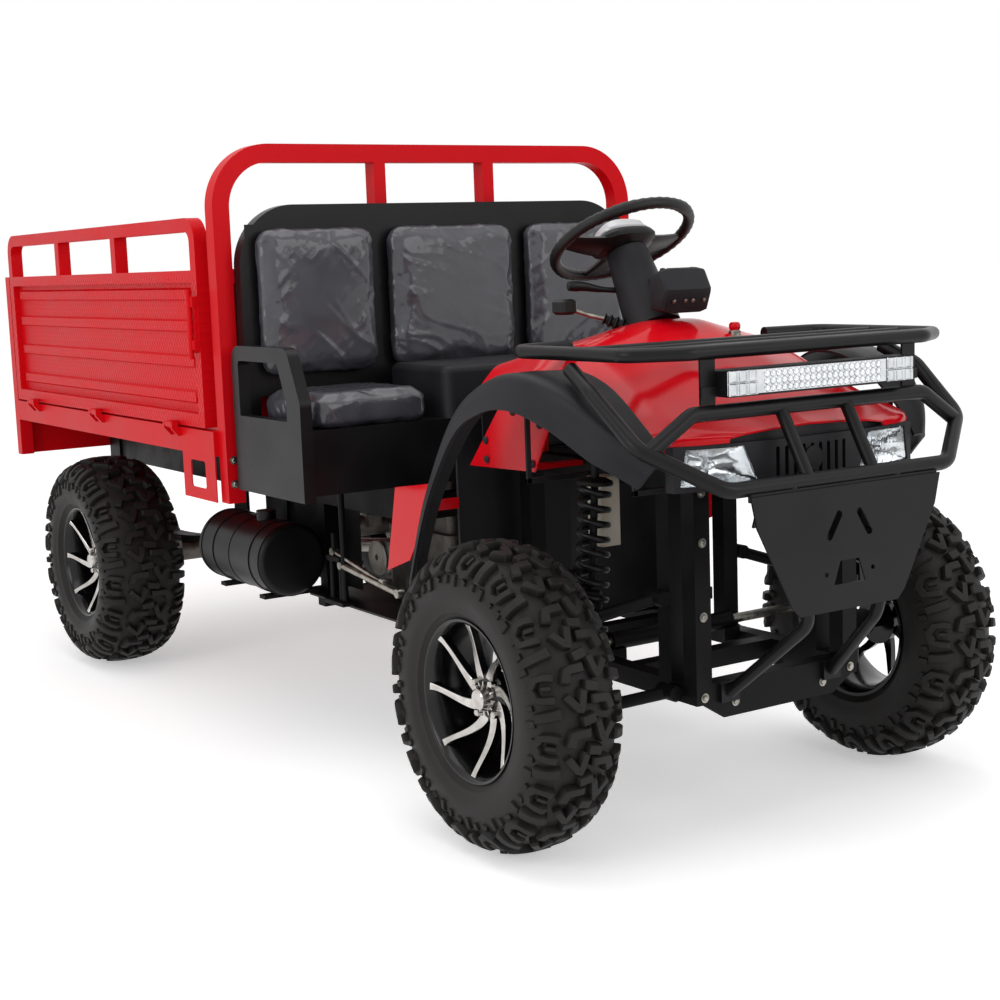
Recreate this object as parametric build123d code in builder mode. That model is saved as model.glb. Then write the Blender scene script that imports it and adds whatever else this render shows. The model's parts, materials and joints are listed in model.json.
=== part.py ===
"""Utility quad bike: open front with a bull bar and rack, a bench seat and a drop-side cargo bed.

X runs forward, Y to the left and Z up, in millimetres. The origin is on the ground,
a fixed way behind the front axle.
Left-hand pieces are drawn at +Y and mirrored for the right.
"""

import os
from math import cos, pi, radians, sin

from build123d import *

# Overall sizes
LENGTH = 3200
FRONT_AXLE_X = 1145
FRONT_OVERHANG = 455
REAR_AXLE_SHARE = 113 / 330
TRACK_FRONT = 1048
TRACK_REAR = 1080

# Clearances: a seat between two pieces, a running fit, and a gap round what swings
SEAT_GAP = 0.3
RUN_GAP = 0.3
SWING_GAP = 6

# Tyres and rims
TYRE_D = 635
TYRE_W_FRONT = 205
TYRE_W_REAR = 255
TYRE_BULGE_R = 238
TYRE_SHOULDER = 44
TYRE_SIDES = 30
FLANK_GAP = 3
LUG_H = 16
LUG_W = 36
LUG_OVERLAP = 12
RIM_W_FRONT = 165
RIM_W_REAR = 200
RIM_BARREL_R = 148
RIM_SEAT_R = 156
RIM_FLANGE_R = 167
RIM_FLANGE_T = 6
SPOKES = 8
SPOKE_W = 14
SPOKE_ROOT_W = 22
SPOKE_SWIRL = 34
SPOKE_T = 15
HUB_R = 46
HUB_DISH = 52
HUB_LENGTH = 60
SPINDLE_R = 18

# Ladder frame
RAIL_Y = 300
RAIL_W = 50
RAIL_H = 90
RAIL_TOP = 660
LOW_RAIL_Y = 200
LOW_RAIL_W = 40
LOW_RAIL_H = 40
FLOOR_Z = 335
FLOOR_T = 5
FLOOR_HALF_W = 370
POST = 40

# Cargo bed
BED_HALF_W = 646
BED_SILL_Z = 790
BED_FLOOR_DROP = 8
BED_FLOOR_T = 4
SILL_H = 62
SILL_W = 40
GATE_T = 36
GATE_TOP_Z = 1190
RAIL_HOOP_Z = 1320
HOOP = 34
HEADBOARD_X = 50
HEADBOARD_HALF_W = 633
HEADBOARD_TOP_Z = 1492
HEADBOARD_TUBE = 45
BED_SKIRT_Z = 612
HINGE_R = 9

# Seat
SEAT_HALF_W = 587
SEAT_PAN_Z = 813
SEAT_FRONT_X = 460
SEAT_BACK_TOP_Z = 1342
SEAT_TUBE = 36
CUSHION_T = 80
BACK_CUSHION_T = 45
SHEET = 3

# Steering
STEER_X = 896
STEER_Z = 1222
STEER_TILT = 29
STEER_RIM_R = 170
STEER_GRIP_R = 14
KINGPIN_Y = 440
KINGPIN_R = 14
STEER_ARM = 105

# Front tubes
BULL_TUBE_R = 15.5
RACK_TUBE_R = 14
RACK_Z = 1003

front_axle_x = FRONT_AXLE_X
nose_x = front_axle_x + FRONT_OVERHANG
tail_x = nose_x - LENGTH
rear_axle_x = tail_x + REAR_AXLE_SHARE * (HEADBOARD_X - tail_x)
axle_z = TYRE_D / 2
both_sides = (1, -1)

os.makedirs("parts", exist_ok=True)


def save(part, name):
    """Labels a finished piece and writes its STEP file."""
    part.label = name
    export_step(part, f"parts/{name}.step")


def round_tube(points, radius, bend):
    """Round bar along straight runs, joined by bends of one centre-line radius."""
    with BuildPart() as bar:
        with BuildLine() as path:
            if len(points) > 2:
                FilletPolyline(*points, radius=bend)
            else:
                Line(*points)
        with BuildSketch(Plane(origin=path.line @ 0, z_dir=path.line % 0)):
            Circle(radius)
        sweep()
    return bar.part


def box_between(low, high):
    """Box from its lowest corner to its highest one."""
    size = [h - l for l, h in zip(low, high)]
    with BuildPart(Plane(origin=tuple((l + h) / 2 for l, h in zip(low, high)))) as block:
        Box(*size)
    return block.part


def flipped(part):
    """The right-hand twin of a left-hand piece."""
    return mirror(part, about=Plane.XZ)


def joined(pieces):
    """Pieces that are welded into one."""
    with BuildPart() as weld:
        for piece in pieces:
            add(piece)
    return weld.part


def apart(pieces):
    """Like pieces that don't touch, kept as separate solids of one node."""
    return Compound(children=[solid for piece in pieces for solid in piece.solids()])


# Wheels, drawn with the axle along Z and the outer side up


def ring_solid(stations):
    """Solid of flat faces through (radius to the flats, height) stations along the axle."""
    turn = 2 * pi / TYRE_SIDES
    corner_angles = [pi / 2 + (k + 0.5) * turn for k in range(TYRE_SIDES)]
    rings = []
    for radius, height in stations:
        corner_r = radius / cos(turn / 2)
        rings.append([Vector(corner_r * cos(a), corner_r * sin(a), height) for a in corner_angles])
    walls = [rings[0], rings[-1]]
    for low, high in zip(rings, rings[1:]):
        for k in range(TYRE_SIDES):
            walls.append([low[k - 1], low[k], high[k], high[k - 1]])
    return Solid(Shell([Face(Wire.make_polygon(wall)) for wall in walls]))


def tyre_shape(width, rim_width):
    """Tyre: faceted carcass with a hollow for the rim and a tread lug fused on each facet."""
    half = width / 2
    bead = rim_width / 2 - RIM_FLANGE_T - SEAT_GAP
    bead_r = RIM_SEAT_R + SEAT_GAP
    flank_r = RIM_FLANGE_R + FLANK_GAP
    shoulder = half - TYRE_SHOULDER
    tip_r = TYRE_D / 2
    base_r = tip_r - LUG_H
    outer = ring_solid(
        [(TYRE_BULGE_R, -half), (base_r, -shoulder), (base_r, shoulder), (TYRE_BULGE_R, half)]
    )
    hollow_half = [(bead_r, bead), (flank_r, bead), (TYRE_BULGE_R, half + 1)]
    hollow = ring_solid([(r, -z) for r, z in reversed(hollow_half)] + hollow_half)
    lug_side = [
        (base_r - LUG_H, -LUG_OVERLAP),
        (tip_r, -LUG_OVERLAP),
        (tip_r, shoulder - LUG_H / 2),
        (tip_r - 2 * LUG_H, half - 6),
        (base_r - 2.4 * LUG_H, half - LUG_H),
    ]
    with BuildPart() as lug:
        with BuildSketch(Plane.XZ.offset(-LUG_W / 2)):
            with BuildLine():
                Polyline(*lug_side, close=True)
            make_face()
        extrude(amount=LUG_W)
    with BuildPart() as tyre:
        add(outer)
        add(hollow, mode=Mode.SUBTRACT)
        with PolarLocations(0, TYRE_SIDES // 2, start_angle=90):
            add(lug.part)
        with PolarLocations(0, TYRE_SIDES // 2, start_angle=90 + 360 / TYRE_SIDES):
            add(mirror(lug.part, about=Plane.XY))
    return tyre.part


def swirl_point(radius, degrees, across):
    """Point on the wheel's face at a radius and angle, moved square to that radius."""
    turn = radians(degrees)
    return (radius * cos(turn) - across * sin(turn), radius * sin(turn) + across * cos(turn))


def rim_shape(rim_width):
    """Alloy rim: flanged barrel, dished spokes and a hub bored for the spindle."""
    half = rim_width / 2
    hub_face = half - HUB_DISH
    bead_in = half - RIM_FLANGE_T
    barrel = [
        (RIM_BARREL_R, -half),
        (RIM_FLANGE_R, -half),
        (RIM_FLANGE_R, -bead_in),
        (RIM_SEAT_R, -bead_in),
        (RIM_SEAT_R, bead_in),
        (RIM_FLANGE_R, bead_in),
        (RIM_FLANGE_R, half),
        (RIM_BARREL_R, half),
    ]
    spoke_root = HUB_R - 4
    spoke_tip = RIM_BARREL_R + 3
    with BuildSketch(Plane.XY.offset(-half)) as spoke_plan:
        with BuildLine():
            edges = []
            for edge in both_sides:
                edges.append(
                    ThreePointArc(
                        swirl_point(spoke_root - 6, SPOKE_SWIRL, edge * SPOKE_ROOT_W / 2),
                        swirl_point(spoke_root + 50, SPOKE_SWIRL * 0.36, edge * SPOKE_W / 2),
                        swirl_point(spoke_tip + 6, 0, edge * SPOKE_W / 2),
                    )
                )
            Line(edges[0] @ 0, edges[1] @ 0)
            Line(edges[0] @ 1, edges[1] @ 1)
        make_face()
    with BuildPart() as spokes:
        with BuildSketch(Plane.XZ):
            with BuildLine():
                Polyline(
                    (spoke_root, hub_face),
                    (spoke_tip, half - 8),
                    (spoke_tip, half - 8 - SPOKE_T),
                    (spoke_root, hub_face - SPOKE_T - 6),
                    close=True,
                )
            make_face()
        revolve(axis=Axis.Z)
        with BuildSketch(Plane.XY.offset(-half)):
            with PolarLocations(0, SPOKES):
                add(spoke_plan.sketch_local)
        extrude(amount=rim_width, mode=Mode.INTERSECT)
    with BuildPart() as rim:
        with BuildSketch(Plane.XZ):
            with BuildLine():
                Polyline(*barrel, close=True)
            make_face()
        revolve(axis=Axis.Z)
        with BuildSketch(Plane.XY.offset(hub_face)):
            Circle(HUB_R)
        extrude(amount=-HUB_LENGTH)
        add(spokes.part)
        with BuildSketch(Plane.XY.offset(hub_face - HUB_LENGTH)):
            Circle(SPINDLE_R + RUN_GAP)
        extrude(amount=HUB_LENGTH - 8, mode=Mode.SUBTRACT)
    return rim.part


wheel_table = [
    # name, axle x, track, tyre width, rim width, side
    ("front_left", front_axle_x, TRACK_FRONT, TYRE_W_FRONT, RIM_W_FRONT, 1),
    ("front_right", front_axle_x, TRACK_FRONT, TYRE_W_FRONT, RIM_W_FRONT, -1),
    ("rear_left", rear_axle_x, TRACK_REAR, TYRE_W_REAR, RIM_W_REAR, 1),
    ("rear_right", rear_axle_x, TRACK_REAR, TYRE_W_REAR, RIM_W_REAR, -1),
]
for name, axle_x, track, tyre_w, rim_w, side in wheel_table:
    place = Plane(origin=(axle_x, side * track / 2, axle_z), x_dir=(1, 0, 0), z_dir=(0, side, 0))
    tyre_blank = tyre_shape(tyre_w, rim_w)
    rim_blank = rim_shape(rim_w)
    with BuildPart() as tyre:
        with Locations(place.location):
            add(tyre_blank)
    with BuildPart() as rim:
        with Locations(place.location):
            add(rim_blank)
    save(tyre.part, f"tyre_{name}")
    save(rim.part, f"rim_{name}")

front_hub_y = TRACK_FRONT / 2 + RIM_W_FRONT / 2 - HUB_DISH - HUB_LENGTH
rear_hub_y = TRACK_REAR / 2 + RIM_W_REAR / 2 - HUB_DISH - HUB_LENGTH
spindle_reach = HUB_LENGTH - 14


# Front knuckles: kingpin, stub axle and a steering arm behind it

arm_low_z = axle_z - 72
arm_high_z = axle_z + 105
EYE_H = 30
EYE_R = 25
KNUCKLE_R = 22
steer_arm_z = axle_z + 62
STEER_ARM_T = 14


def knuckle_shape():
    """Left knuckle."""
    kingpin = Plane(origin=(front_axle_x, KINGPIN_Y, 0))
    low = arm_low_z - EYE_H / 2
    high = arm_high_z + EYE_H / 2
    body_low = arm_low_z + EYE_H / 2 + RUN_GAP
    body_high = arm_high_z - EYE_H / 2 - RUN_GAP
    axle = Plane(origin=(front_axle_x, KINGPIN_Y, axle_z), x_dir=(1, 0, 0), z_dir=(0, 1, 0))
    flange_y = front_hub_y - KINGPIN_Y - RUN_GAP
    with BuildPart() as knuckle:
        with BuildSketch(kingpin.offset(low)):
            Circle(KINGPIN_R)
        extrude(amount=high - low)
        with BuildSketch(kingpin.offset(body_low)):
            Circle(KNUCKLE_R)
        extrude(amount=body_high - body_low)
        with BuildSketch(axle):
            Circle(SPINDLE_R + 14)
        extrude(amount=flange_y)
        with BuildSketch(axle):
            Circle(SPINDLE_R)
        extrude(amount=flange_y + RUN_GAP + spindle_reach)
        with BuildSketch(kingpin.offset(steer_arm_z)):
            with Locations((-STEER_ARM / 2, 0)):
                SlotOverall(STEER_ARM + 2 * KNUCKLE_R, 2 * KNUCKLE_R * 0.7)
        extrude(amount=STEER_ARM_T)
    return knuckle.part


knuckle_left = knuckle_shape()
save(knuckle_left, "knuckle_left")
save(flipped(knuckle_left), "knuckle_right")


# Chassis: upper rails under seat and bed, lower rails under the floor, front tower

low_rail_top = FLOOR_Z - FLOOR_T
low_rail_bottom = low_rail_top - LOW_RAIL_H
rail_bottom = RAIL_TOP - RAIL_H
rail_out = RAIL_Y + RAIL_W / 2
rail_in = RAIL_Y - RAIL_W / 2
low_rail_out = LOW_RAIL_Y + LOW_RAIL_W / 2
low_rail_in = LOW_RAIL_Y - LOW_RAIL_W / 2
rail_rear_x = tail_x + 60
rail_front_x = SEAT_FRONT_X - 15
low_rail_rear_x = -60
tower_rear_x = 780
tower_front_x = 1395
tower_top_z = 760
TOWER_RAIL_H = 40
FRAME_SPLIT_X = 470
HANGER_T = 8
LEAF_W = 50
LEAF_TAIL_GAP = 45
LEAF_Z = axle_z + 60
leaf_y = rail_out + LEAF_W / 2 + HANGER_T
leaf_half = rear_axle_x - tail_x - LEAF_TAIL_GAP
hanger_front_x = rear_axle_x + leaf_half
hanger_rear_x = rear_axle_x - leaf_half + 30
LEAF_EYE_R = 20
LEAF_CAMBER = 60
leaf_eye_z = LEAF_Z + LEAF_CAMBER

TANK_R = 95
TANK_Y = -425
TANK_Z = 432
TANK_LEAF_GAP = 120
tank_rear_x = hanger_front_x + TANK_LEAF_GAP
TANK_FRONT_X = 5
CRADLE_W = 34
CRADLE_T = 10

upper_members = [
    # low corner, high corner of each bar of the upper ladder
    ((rail_rear_x, rail_in, rail_bottom), (rail_front_x, rail_out, RAIL_TOP)),
    ((rail_rear_x, -rail_out, rail_bottom), (rail_front_x, -rail_in, RAIL_TOP)),
]
for cross_x in (rail_rear_x, rear_axle_x + 330, hanger_front_x + 20, low_rail_rear_x, rail_front_x - POST):
    upper_members.append(((cross_x, -RAIL_Y, rail_bottom), (cross_x + POST, RAIL_Y, RAIL_TOP - 30)))
for post_x in (low_rail_rear_x, rail_front_x - POST):
    upper_members.append(((post_x, -rail_out, low_rail_bottom), (post_x + POST, rail_out, low_rail_top)))
    for side in both_sides:
        low_y, high_y = sorted((side * rail_in, side * (rail_in + POST)))
        upper_members.append(((post_x, low_y, low_rail_bottom), (post_x + POST, high_y, RAIL_TOP)))
for side in both_sides:
    low_y, high_y = sorted((side * low_rail_in, side * low_rail_out))
    upper_members.append(((low_rail_rear_x, low_y, low_rail_bottom), (FRAME_SPLIT_X, high_y, low_rail_top)))
    low_y, high_y = sorted((side * rail_out, side * (rail_out + HANGER_T)))
    for eye_x in (hanger_front_x, hanger_rear_x):
        upper_members.append(((eye_x - 45, low_y, leaf_eye_z - 40), (eye_x + 45, high_y, RAIL_TOP - 10)))
for cradle_x in (tank_rear_x + 60, TANK_FRONT_X - 90):
    shelf_top = TANK_Z - TANK_R - SEAT_GAP
    upper_members.append(
        ((cradle_x, TANK_Y - 60, shelf_top - CRADLE_T), (cradle_x + CRADLE_W, -rail_in - 4, shelf_top))
    )
    upper_members.append(
        ((cradle_x, -rail_in - 14, shelf_top - CRADLE_T), (cradle_x + CRADLE_W, -rail_in - 4, rail_bottom + 20))
    )
save(joined([box_between(low, high) for low, high in upper_members]), "main_frame")

UPPER_SPREAD = 150
SHOCK_TOP_X = front_axle_x + 40
SHOCK_TOP_Y = 300
SHOCK_RISE = 40
SHOCK_SEAT_HALF = 35
SHOCK_SEAT_T = 18
GUARD_T = 6
GUARD_DROP = 34
shock_top_z = tower_top_z + SHOCK_RISE
column_lean = radians(STEER_TILT)
COLUMN_FOOT_X = STEER_X + (STEER_Z - tower_top_z) * sin(column_lean) / cos(column_lean)
tower_members = []
for side in both_sides:
    low_y, high_y = sorted((side * low_rail_in, side * low_rail_out))
    tower_members.append(((FRAME_SPLIT_X, low_y, low_rail_bottom), (tower_front_x, high_y, low_rail_top)))
    tower_members.append(
        ((tower_rear_x, low_y, tower_top_z - TOWER_RAIL_H), (tower_front_x, high_y, tower_top_z))
    )
    arm_posts = (front_axle_x - UPPER_SPREAD - POST / 2, front_axle_x + UPPER_SPREAD - POST / 2)
    for post_x in (tower_rear_x, *arm_posts, tower_front_x - POST):
        tower_members.append(((post_x, low_y, low_rail_bottom), (post_x + POST, high_y, tower_top_z)))
for cross_x in (tower_rear_x, COLUMN_FOOT_X - POST / 2, tower_front_x - POST):
    for top_z in (low_rail_top, tower_top_z):
        tower_members.append(((cross_x, -LOW_RAIL_Y, top_z - POST), (cross_x + POST, LOW_RAIL_Y, top_z)))
rack_housing_x = front_axle_x - STEER_ARM
RACK_BAR_R = 11
RACK_HOUSING_R = 20
rack_bar_z = steer_arm_z - 14 - RACK_BAR_R
RACK_HOUSING_HALF = 170
tower_bars = [box_between(low, high) for low, high in tower_members]
with BuildPart() as housing_tube:
    with BuildSketch(Plane(origin=(rack_housing_x, -RACK_HOUSING_HALF, rack_bar_z), z_dir=(0, 1, 0))):
        Circle(RACK_HOUSING_R)
        Circle(RACK_BAR_R + RUN_GAP, mode=Mode.SUBTRACT)
    extrude(amount=2 * RACK_HOUSING_HALF)
tower_bars.append(housing_tube.part)
for side in both_sides:
    low_y, high_y = sorted((side * (RACK_HOUSING_HALF - 30), side * (low_rail_in + 5)))
    tower_bars.append(
        box_between(
            (rack_housing_x - RACK_HOUSING_R, low_y, low_rail_top - 20),
            (rack_housing_x + RACK_HOUSING_R, high_y, rack_bar_z - RACK_BAR_R - 3),
        )
    )
    low_y, high_y = sorted((side * low_rail_in, side * low_rail_out))
    tower_bars.append(
        box_between(
            (SHOCK_TOP_X - SHOCK_SEAT_HALF, low_y, tower_top_z - 5),
            (SHOCK_TOP_X + SHOCK_SEAT_HALF, high_y, shock_top_z),
        )
    )
    low_y, high_y = sorted((side * low_rail_in, side * (SHOCK_TOP_Y + SHOCK_SEAT_HALF)))
    tower_bars.append(
        box_between(
            (SHOCK_TOP_X - SHOCK_SEAT_HALF, low_y, shock_top_z),
            (SHOCK_TOP_X + SHOCK_SEAT_HALF, high_y, shock_top_z + SHOCK_SEAT_T),
        )
    )
with BuildPart() as guard_plate:
    with BuildSketch(Plane.YZ.offset(tower_front_x - GUARD_T)):
        with BuildLine():
            Polyline(
                (-low_rail_out, low_rail_bottom + 10),
                (low_rail_out, low_rail_bottom + 10),
                (low_rail_in - 30, low_rail_bottom - GUARD_DROP),
                (-low_rail_in + 30, low_rail_bottom - GUARD_DROP),
                close=True,
            )
        make_face()
    extrude(amount=GUARD_T)
tower_bars.append(guard_plate.part)
save(joined(tower_bars), "front_frame")

# Floor of the footwell, notched round the frame posts
floor_front_x = 745
floor_rear_x = low_rail_rear_x + POST + 2
with BuildPart() as floor_plate:
    with BuildSketch(Plane.XY.offset(low_rail_top)):
        with Locations(((floor_rear_x + floor_front_x) / 2, 0)):
            Rectangle(floor_front_x - floor_rear_x, 2 * FLOOR_HALF_W)
        with Locations(*[(rail_front_x - POST / 2, side * (rail_in + POST / 2)) for side in both_sides]):
            Rectangle(POST + 2, POST + 2, mode=Mode.SUBTRACT)
    extrude(amount=FLOOR_T)
    with BuildSketch(Plane.XY.offset(FLOOR_Z)):
        for side in both_sides:
            with Locations(((floor_front_x + rail_front_x + 20) / 2, side * (FLOOR_HALF_W - 3))):
                Rectangle(floor_front_x - rail_front_x - 20, 6)
    extrude(amount=25)
save(floor_plate.part, "floor_plate")

# Engine under the seat, with the round cover of the belt drive on its left
ENGINE_HALF_W = 165
ENGINE_TOP_Z = 640
engine_x = (40, 370)
with BuildPart() as engine_block:
    with BuildSketch(Plane.XY.offset(FLOOR_Z)):
        with Locations((sum(engine_x) / 2, 0)):
            RectangleRounded(engine_x[1] - engine_x[0], 2 * ENGINE_HALF_W, 30)
    extrude(amount=170)
    with BuildSketch(Plane.XY.offset(FLOOR_Z + 170)):
        with Locations((sum(engine_x) / 2 + 30, -30)):
            RectangleRounded(200, 220, 24)
    extrude(amount=ENGINE_TOP_Z - FLOOR_Z - 170)
    with BuildSketch(Plane(origin=(150, ENGINE_HALF_W, FLOOR_Z + 115), z_dir=(0, 1, 0))):
        Circle(100)
    extrude(amount=60)
save(engine_block.part, "engine_block")

# Round tank slung outside the right rail
with BuildPart() as fuel_tank:
    with BuildSketch(Plane(origin=(tank_rear_x, TANK_Y, TANK_Z), z_dir=(1, 0, 0))):
        Circle(TANK_R)
    extrude(amount=TANK_FRONT_X - tank_rear_x)
    fillet(fuel_tank.edges(), radius=14)
    with BuildSketch(Plane(origin=(tank_rear_x + 0.625 * (TANK_FRONT_X - tank_rear_x), TANK_Y, TANK_Z))):
        Circle(26)
    extrude(amount=TANK_R + 22)
save(fuel_tank.part, "fuel_tank")

# Rear axle: tube, differential, spring pads, drums and spindles
AXLE_TUBE_R = 36
DRUM_R = 92
leaf_seat_z = LEAF_Z - 18
with BuildPart() as rear_axle:
    with BuildSketch(Plane(origin=(rear_axle_x, 0, axle_z), z_dir=(0, 1, 0))):
        Circle(AXLE_TUBE_R)
    extrude(amount=rear_hub_y - RUN_GAP, both=True)
    with BuildSketch(Plane(origin=(rear_axle_x, 0, axle_z), z_dir=(0, 1, 0))):
        Circle(SPINDLE_R)
    extrude(amount=rear_hub_y + spindle_reach, both=True)
    with BuildSketch(Plane(origin=(rear_axle_x, 0, axle_z), z_dir=(0, 1, 0))):
        Circle(98)
    extrude(amount=70, both=True, taper=18)
    with BuildSketch(Plane(origin=(rear_axle_x, 0, axle_z), z_dir=(1, 0, 0))):
        Circle(45)
    extrude(amount=150)
    for side in both_sides:
        with BuildSketch(Plane(origin=(rear_axle_x, side * (rear_hub_y - RUN_GAP), axle_z), z_dir=(0, -side, 0))):
            Circle(DRUM_R)
        extrude(amount=62)
        with BuildSketch(Plane.XY.offset(axle_z)):
            with Locations((rear_axle_x, side * leaf_y)):
                Rectangle(110, LEAF_W)
        extrude(amount=leaf_seat_z - axle_z)
save(rear_axle.part, "rear_axle")

# Propeller shaft between engine and differential
diff_nose = (rear_axle_x + 150, 0, axle_z)
engine_tail = (engine_x[0], 0, FLOOR_Z + 85)
with BuildPart() as prop_shaft:
    with BuildSketch(Plane(origin=diff_nose, z_dir=(1, 0, 0))):
        Circle(34)
    extrude(amount=40)
    with BuildSketch(Plane(origin=engine_tail, z_dir=(-1, 0, 0))):
        Circle(34)
    extrude(amount=40)
shaft_ends = [(diff_nose[0] + 30, 0, diff_nose[2]), (engine_tail[0] - 30, 0, engine_tail[2])]
shaft_run = round_tube(shaft_ends, 20, 0)
save(joined([prop_shaft.part, shaft_run]), "prop_shaft")

# Leaf springs, thicker over the axle, with rolled eyes


def leaf_shape():
    """Left leaf spring."""
    front = hanger_front_x - rear_axle_x
    rear = hanger_rear_x - rear_axle_x
    side_view = Plane(origin=(rear_axle_x, leaf_y + LEAF_W / 2, LEAF_Z), x_dir=(1, 0, 0), z_dir=(0, -1, 0))
    with BuildPart() as leaf:
        with BuildSketch(side_view):
            with BuildLine():
                low = ThreePointArc((rear, LEAF_CAMBER - 5), (0, -16), (front, LEAF_CAMBER - 5))
                high = ThreePointArc((rear, LEAF_CAMBER + 5), (0, 10), (front, LEAF_CAMBER + 5))
                Line(low @ 0, high @ 0)
                Line(low @ 1, high @ 1)
            make_face()
            with Locations((front, LEAF_CAMBER), (rear, LEAF_CAMBER)):
                Circle(LEAF_EYE_R)
        extrude(amount=LEAF_W)
        with BuildSketch(Plane.XY.offset(leaf_seat_z)):
            with Locations((rear_axle_x, leaf_y)):
                Rectangle(90, LEAF_W)
        extrude(amount=34)
    return leaf.part


leaf_left = leaf_shape()
save(apart([leaf_left, flipped(leaf_left)]), "leaf_springs")

# Front suspension arms with eyes on the kingpin and barrels beside the frame
ARM_TUBE_R = 13
BARREL_R = 16
LOWER_SPREAD = 180
arm_pivot_y = low_rail_out + BARREL_R + SEAT_GAP
lower_pivot_z = low_rail_bottom + 20
upper_pivot_z = 500
SHOCK_FOOT_X = front_axle_x + 25
SHOCK_FOOT_Y = 322


def arm_shape(eye_z, pivot_z, spread):
    """Left wishbone without its eye bored."""
    legs = []
    for end in both_sides:
        pivot = (front_axle_x + end * spread, arm_pivot_y, pivot_z)
        legs.append(round_tube([(front_axle_x, KINGPIN_Y, eye_z), pivot], ARM_TUBE_R, 0))
        legs.append(round_tube([(pivot[0] - 25, *pivot[1:]), (pivot[0] + 25, *pivot[1:])], BARREL_R, 0))
    return legs


def bored_arm(pieces, eye_z):
    """Arm with its eye bored round the kingpin."""
    with BuildPart() as arm:
        for piece in pieces:
            add(piece)
        with BuildSketch(Plane(origin=(front_axle_x, KINGPIN_Y, eye_z - EYE_H / 2))):
            Circle(EYE_R)
        extrude(amount=EYE_H)
        with BuildSketch(Plane(origin=(front_axle_x, KINGPIN_Y, eye_z - EYE_H))):
            Rectangle(4 * EYE_R, 2 * EYE_R + 6)
        extrude(amount=EYE_H / 2, mode=Mode.SUBTRACT)
        with BuildSketch(Plane(origin=(front_axle_x, KINGPIN_Y, eye_z + EYE_H / 2))):
            Rectangle(4 * EYE_R, 2 * EYE_R + 6)
        extrude(amount=EYE_H / 2, mode=Mode.SUBTRACT)
        with BuildSketch(Plane(origin=(front_axle_x, KINGPIN_Y, eye_z - EYE_H))):
            Circle(KINGPIN_R + RUN_GAP)
        extrude(amount=2 * EYE_H, mode=Mode.SUBTRACT)
    return arm.part


bridge_half = LOWER_SPREAD * (KINGPIN_Y - SHOCK_FOOT_Y) / (KINGPIN_Y - arm_pivot_y)
bridge_z = arm_low_z + (lower_pivot_z - arm_low_z) * (KINGPIN_Y - SHOCK_FOOT_Y) / (KINGPIN_Y - arm_pivot_y)
shock_foot_z = bridge_z + ARM_TUBE_R + 6
lower_pieces = arm_shape(arm_low_z, lower_pivot_z, LOWER_SPREAD)
lower_pieces.append(
    round_tube(
        [
            (front_axle_x - bridge_half, SHOCK_FOOT_Y, bridge_z),
            (front_axle_x + bridge_half, SHOCK_FOOT_Y, bridge_z),
        ],
        ARM_TUBE_R,
        0,
    )
)
lower_pieces.append(
    box_between(
        (SHOCK_FOOT_X - 22, SHOCK_FOOT_Y - 20, bridge_z),
        (SHOCK_FOOT_X + 22, SHOCK_FOOT_Y + 20, shock_foot_z),
    )
)
lower_arm = bored_arm(lower_pieces, arm_low_z)
upper_arm = bored_arm(arm_shape(arm_high_z, upper_pivot_z, UPPER_SPREAD), arm_high_z)
save(apart([lower_arm, upper_arm, flipped(lower_arm), flipped(upper_arm)]), "suspension_arms")

# Front shock absorbers: foot, damper, wound spring in outline and top stud
SPRING_R = 36
SPRING_CORE_R = 24
SPRING_COILS = 8
DAMPER_R = 22
STUD_R = 15
shock_low = Vector(SHOCK_FOOT_X, SHOCK_FOOT_Y, shock_foot_z + 30)
shock_high = Vector(SHOCK_TOP_X, SHOCK_TOP_Y, shock_top_z - 26)
shock_axis = (shock_high - shock_low).normalized()
shock_run = (shock_high - shock_low).length
shock_side = shock_axis.cross(Vector(1, 0, 0)).normalized()
spring_pitch = 0.74 * shock_run / SPRING_COILS
spring_low = 0.16 * shock_run
with BuildPart() as shock_left:
    with BuildSketch(Plane(origin=(SHOCK_FOOT_X, SHOCK_FOOT_Y, shock_foot_z))):
        Circle(STUD_R)
    extrude(amount=34)
    with BuildSketch(Plane(origin=(SHOCK_TOP_X, SHOCK_TOP_Y, shock_top_z))):
        Circle(STUD_R)
    extrude(amount=-30)
    with BuildSketch(Plane(origin=shock_low, z_dir=shock_axis)):
        Circle(DAMPER_R)
    extrude(amount=shock_run)
    with BuildSketch(Plane(origin=shock_low, x_dir=shock_side, z_dir=shock_side.cross(shock_axis))):
        coils = []
        for coil in range(SPRING_COILS):
            coils.append((SPRING_R, spring_low + (coil + 0.25) * spring_pitch))
            coils.append((SPRING_CORE_R, spring_low + (coil + 0.75) * spring_pitch))
        with BuildLine():
            Polyline((0, spring_low), (SPRING_R, spring_low), *coils, (0, coils[-1][1]), close=True)
        make_face()
    revolve(axis=Axis(shock_low, shock_axis))
save(apart([shock_left.part, flipped(shock_left.part)]), "front_shocks")

# Steering rack and track rods, one bar that slides across; its ends lie under the steering arms
rack_half = KINGPIN_Y - 6
ROD_END_R = 15
with BuildPart() as steering_rack:
    with BuildSketch(Plane(origin=(rack_housing_x, 0, rack_bar_z), z_dir=(0, 1, 0))):
        Circle(RACK_BAR_R)
    extrude(amount=rack_half, both=True)
    for side in both_sides:
        with BuildSketch(Plane(origin=(rack_housing_x, side * rack_half, rack_bar_z))):
            Circle(ROD_END_R)
        extrude(amount=RACK_BAR_R + 3, both=True)
save(steering_rack.part, "steering_rack")

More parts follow.
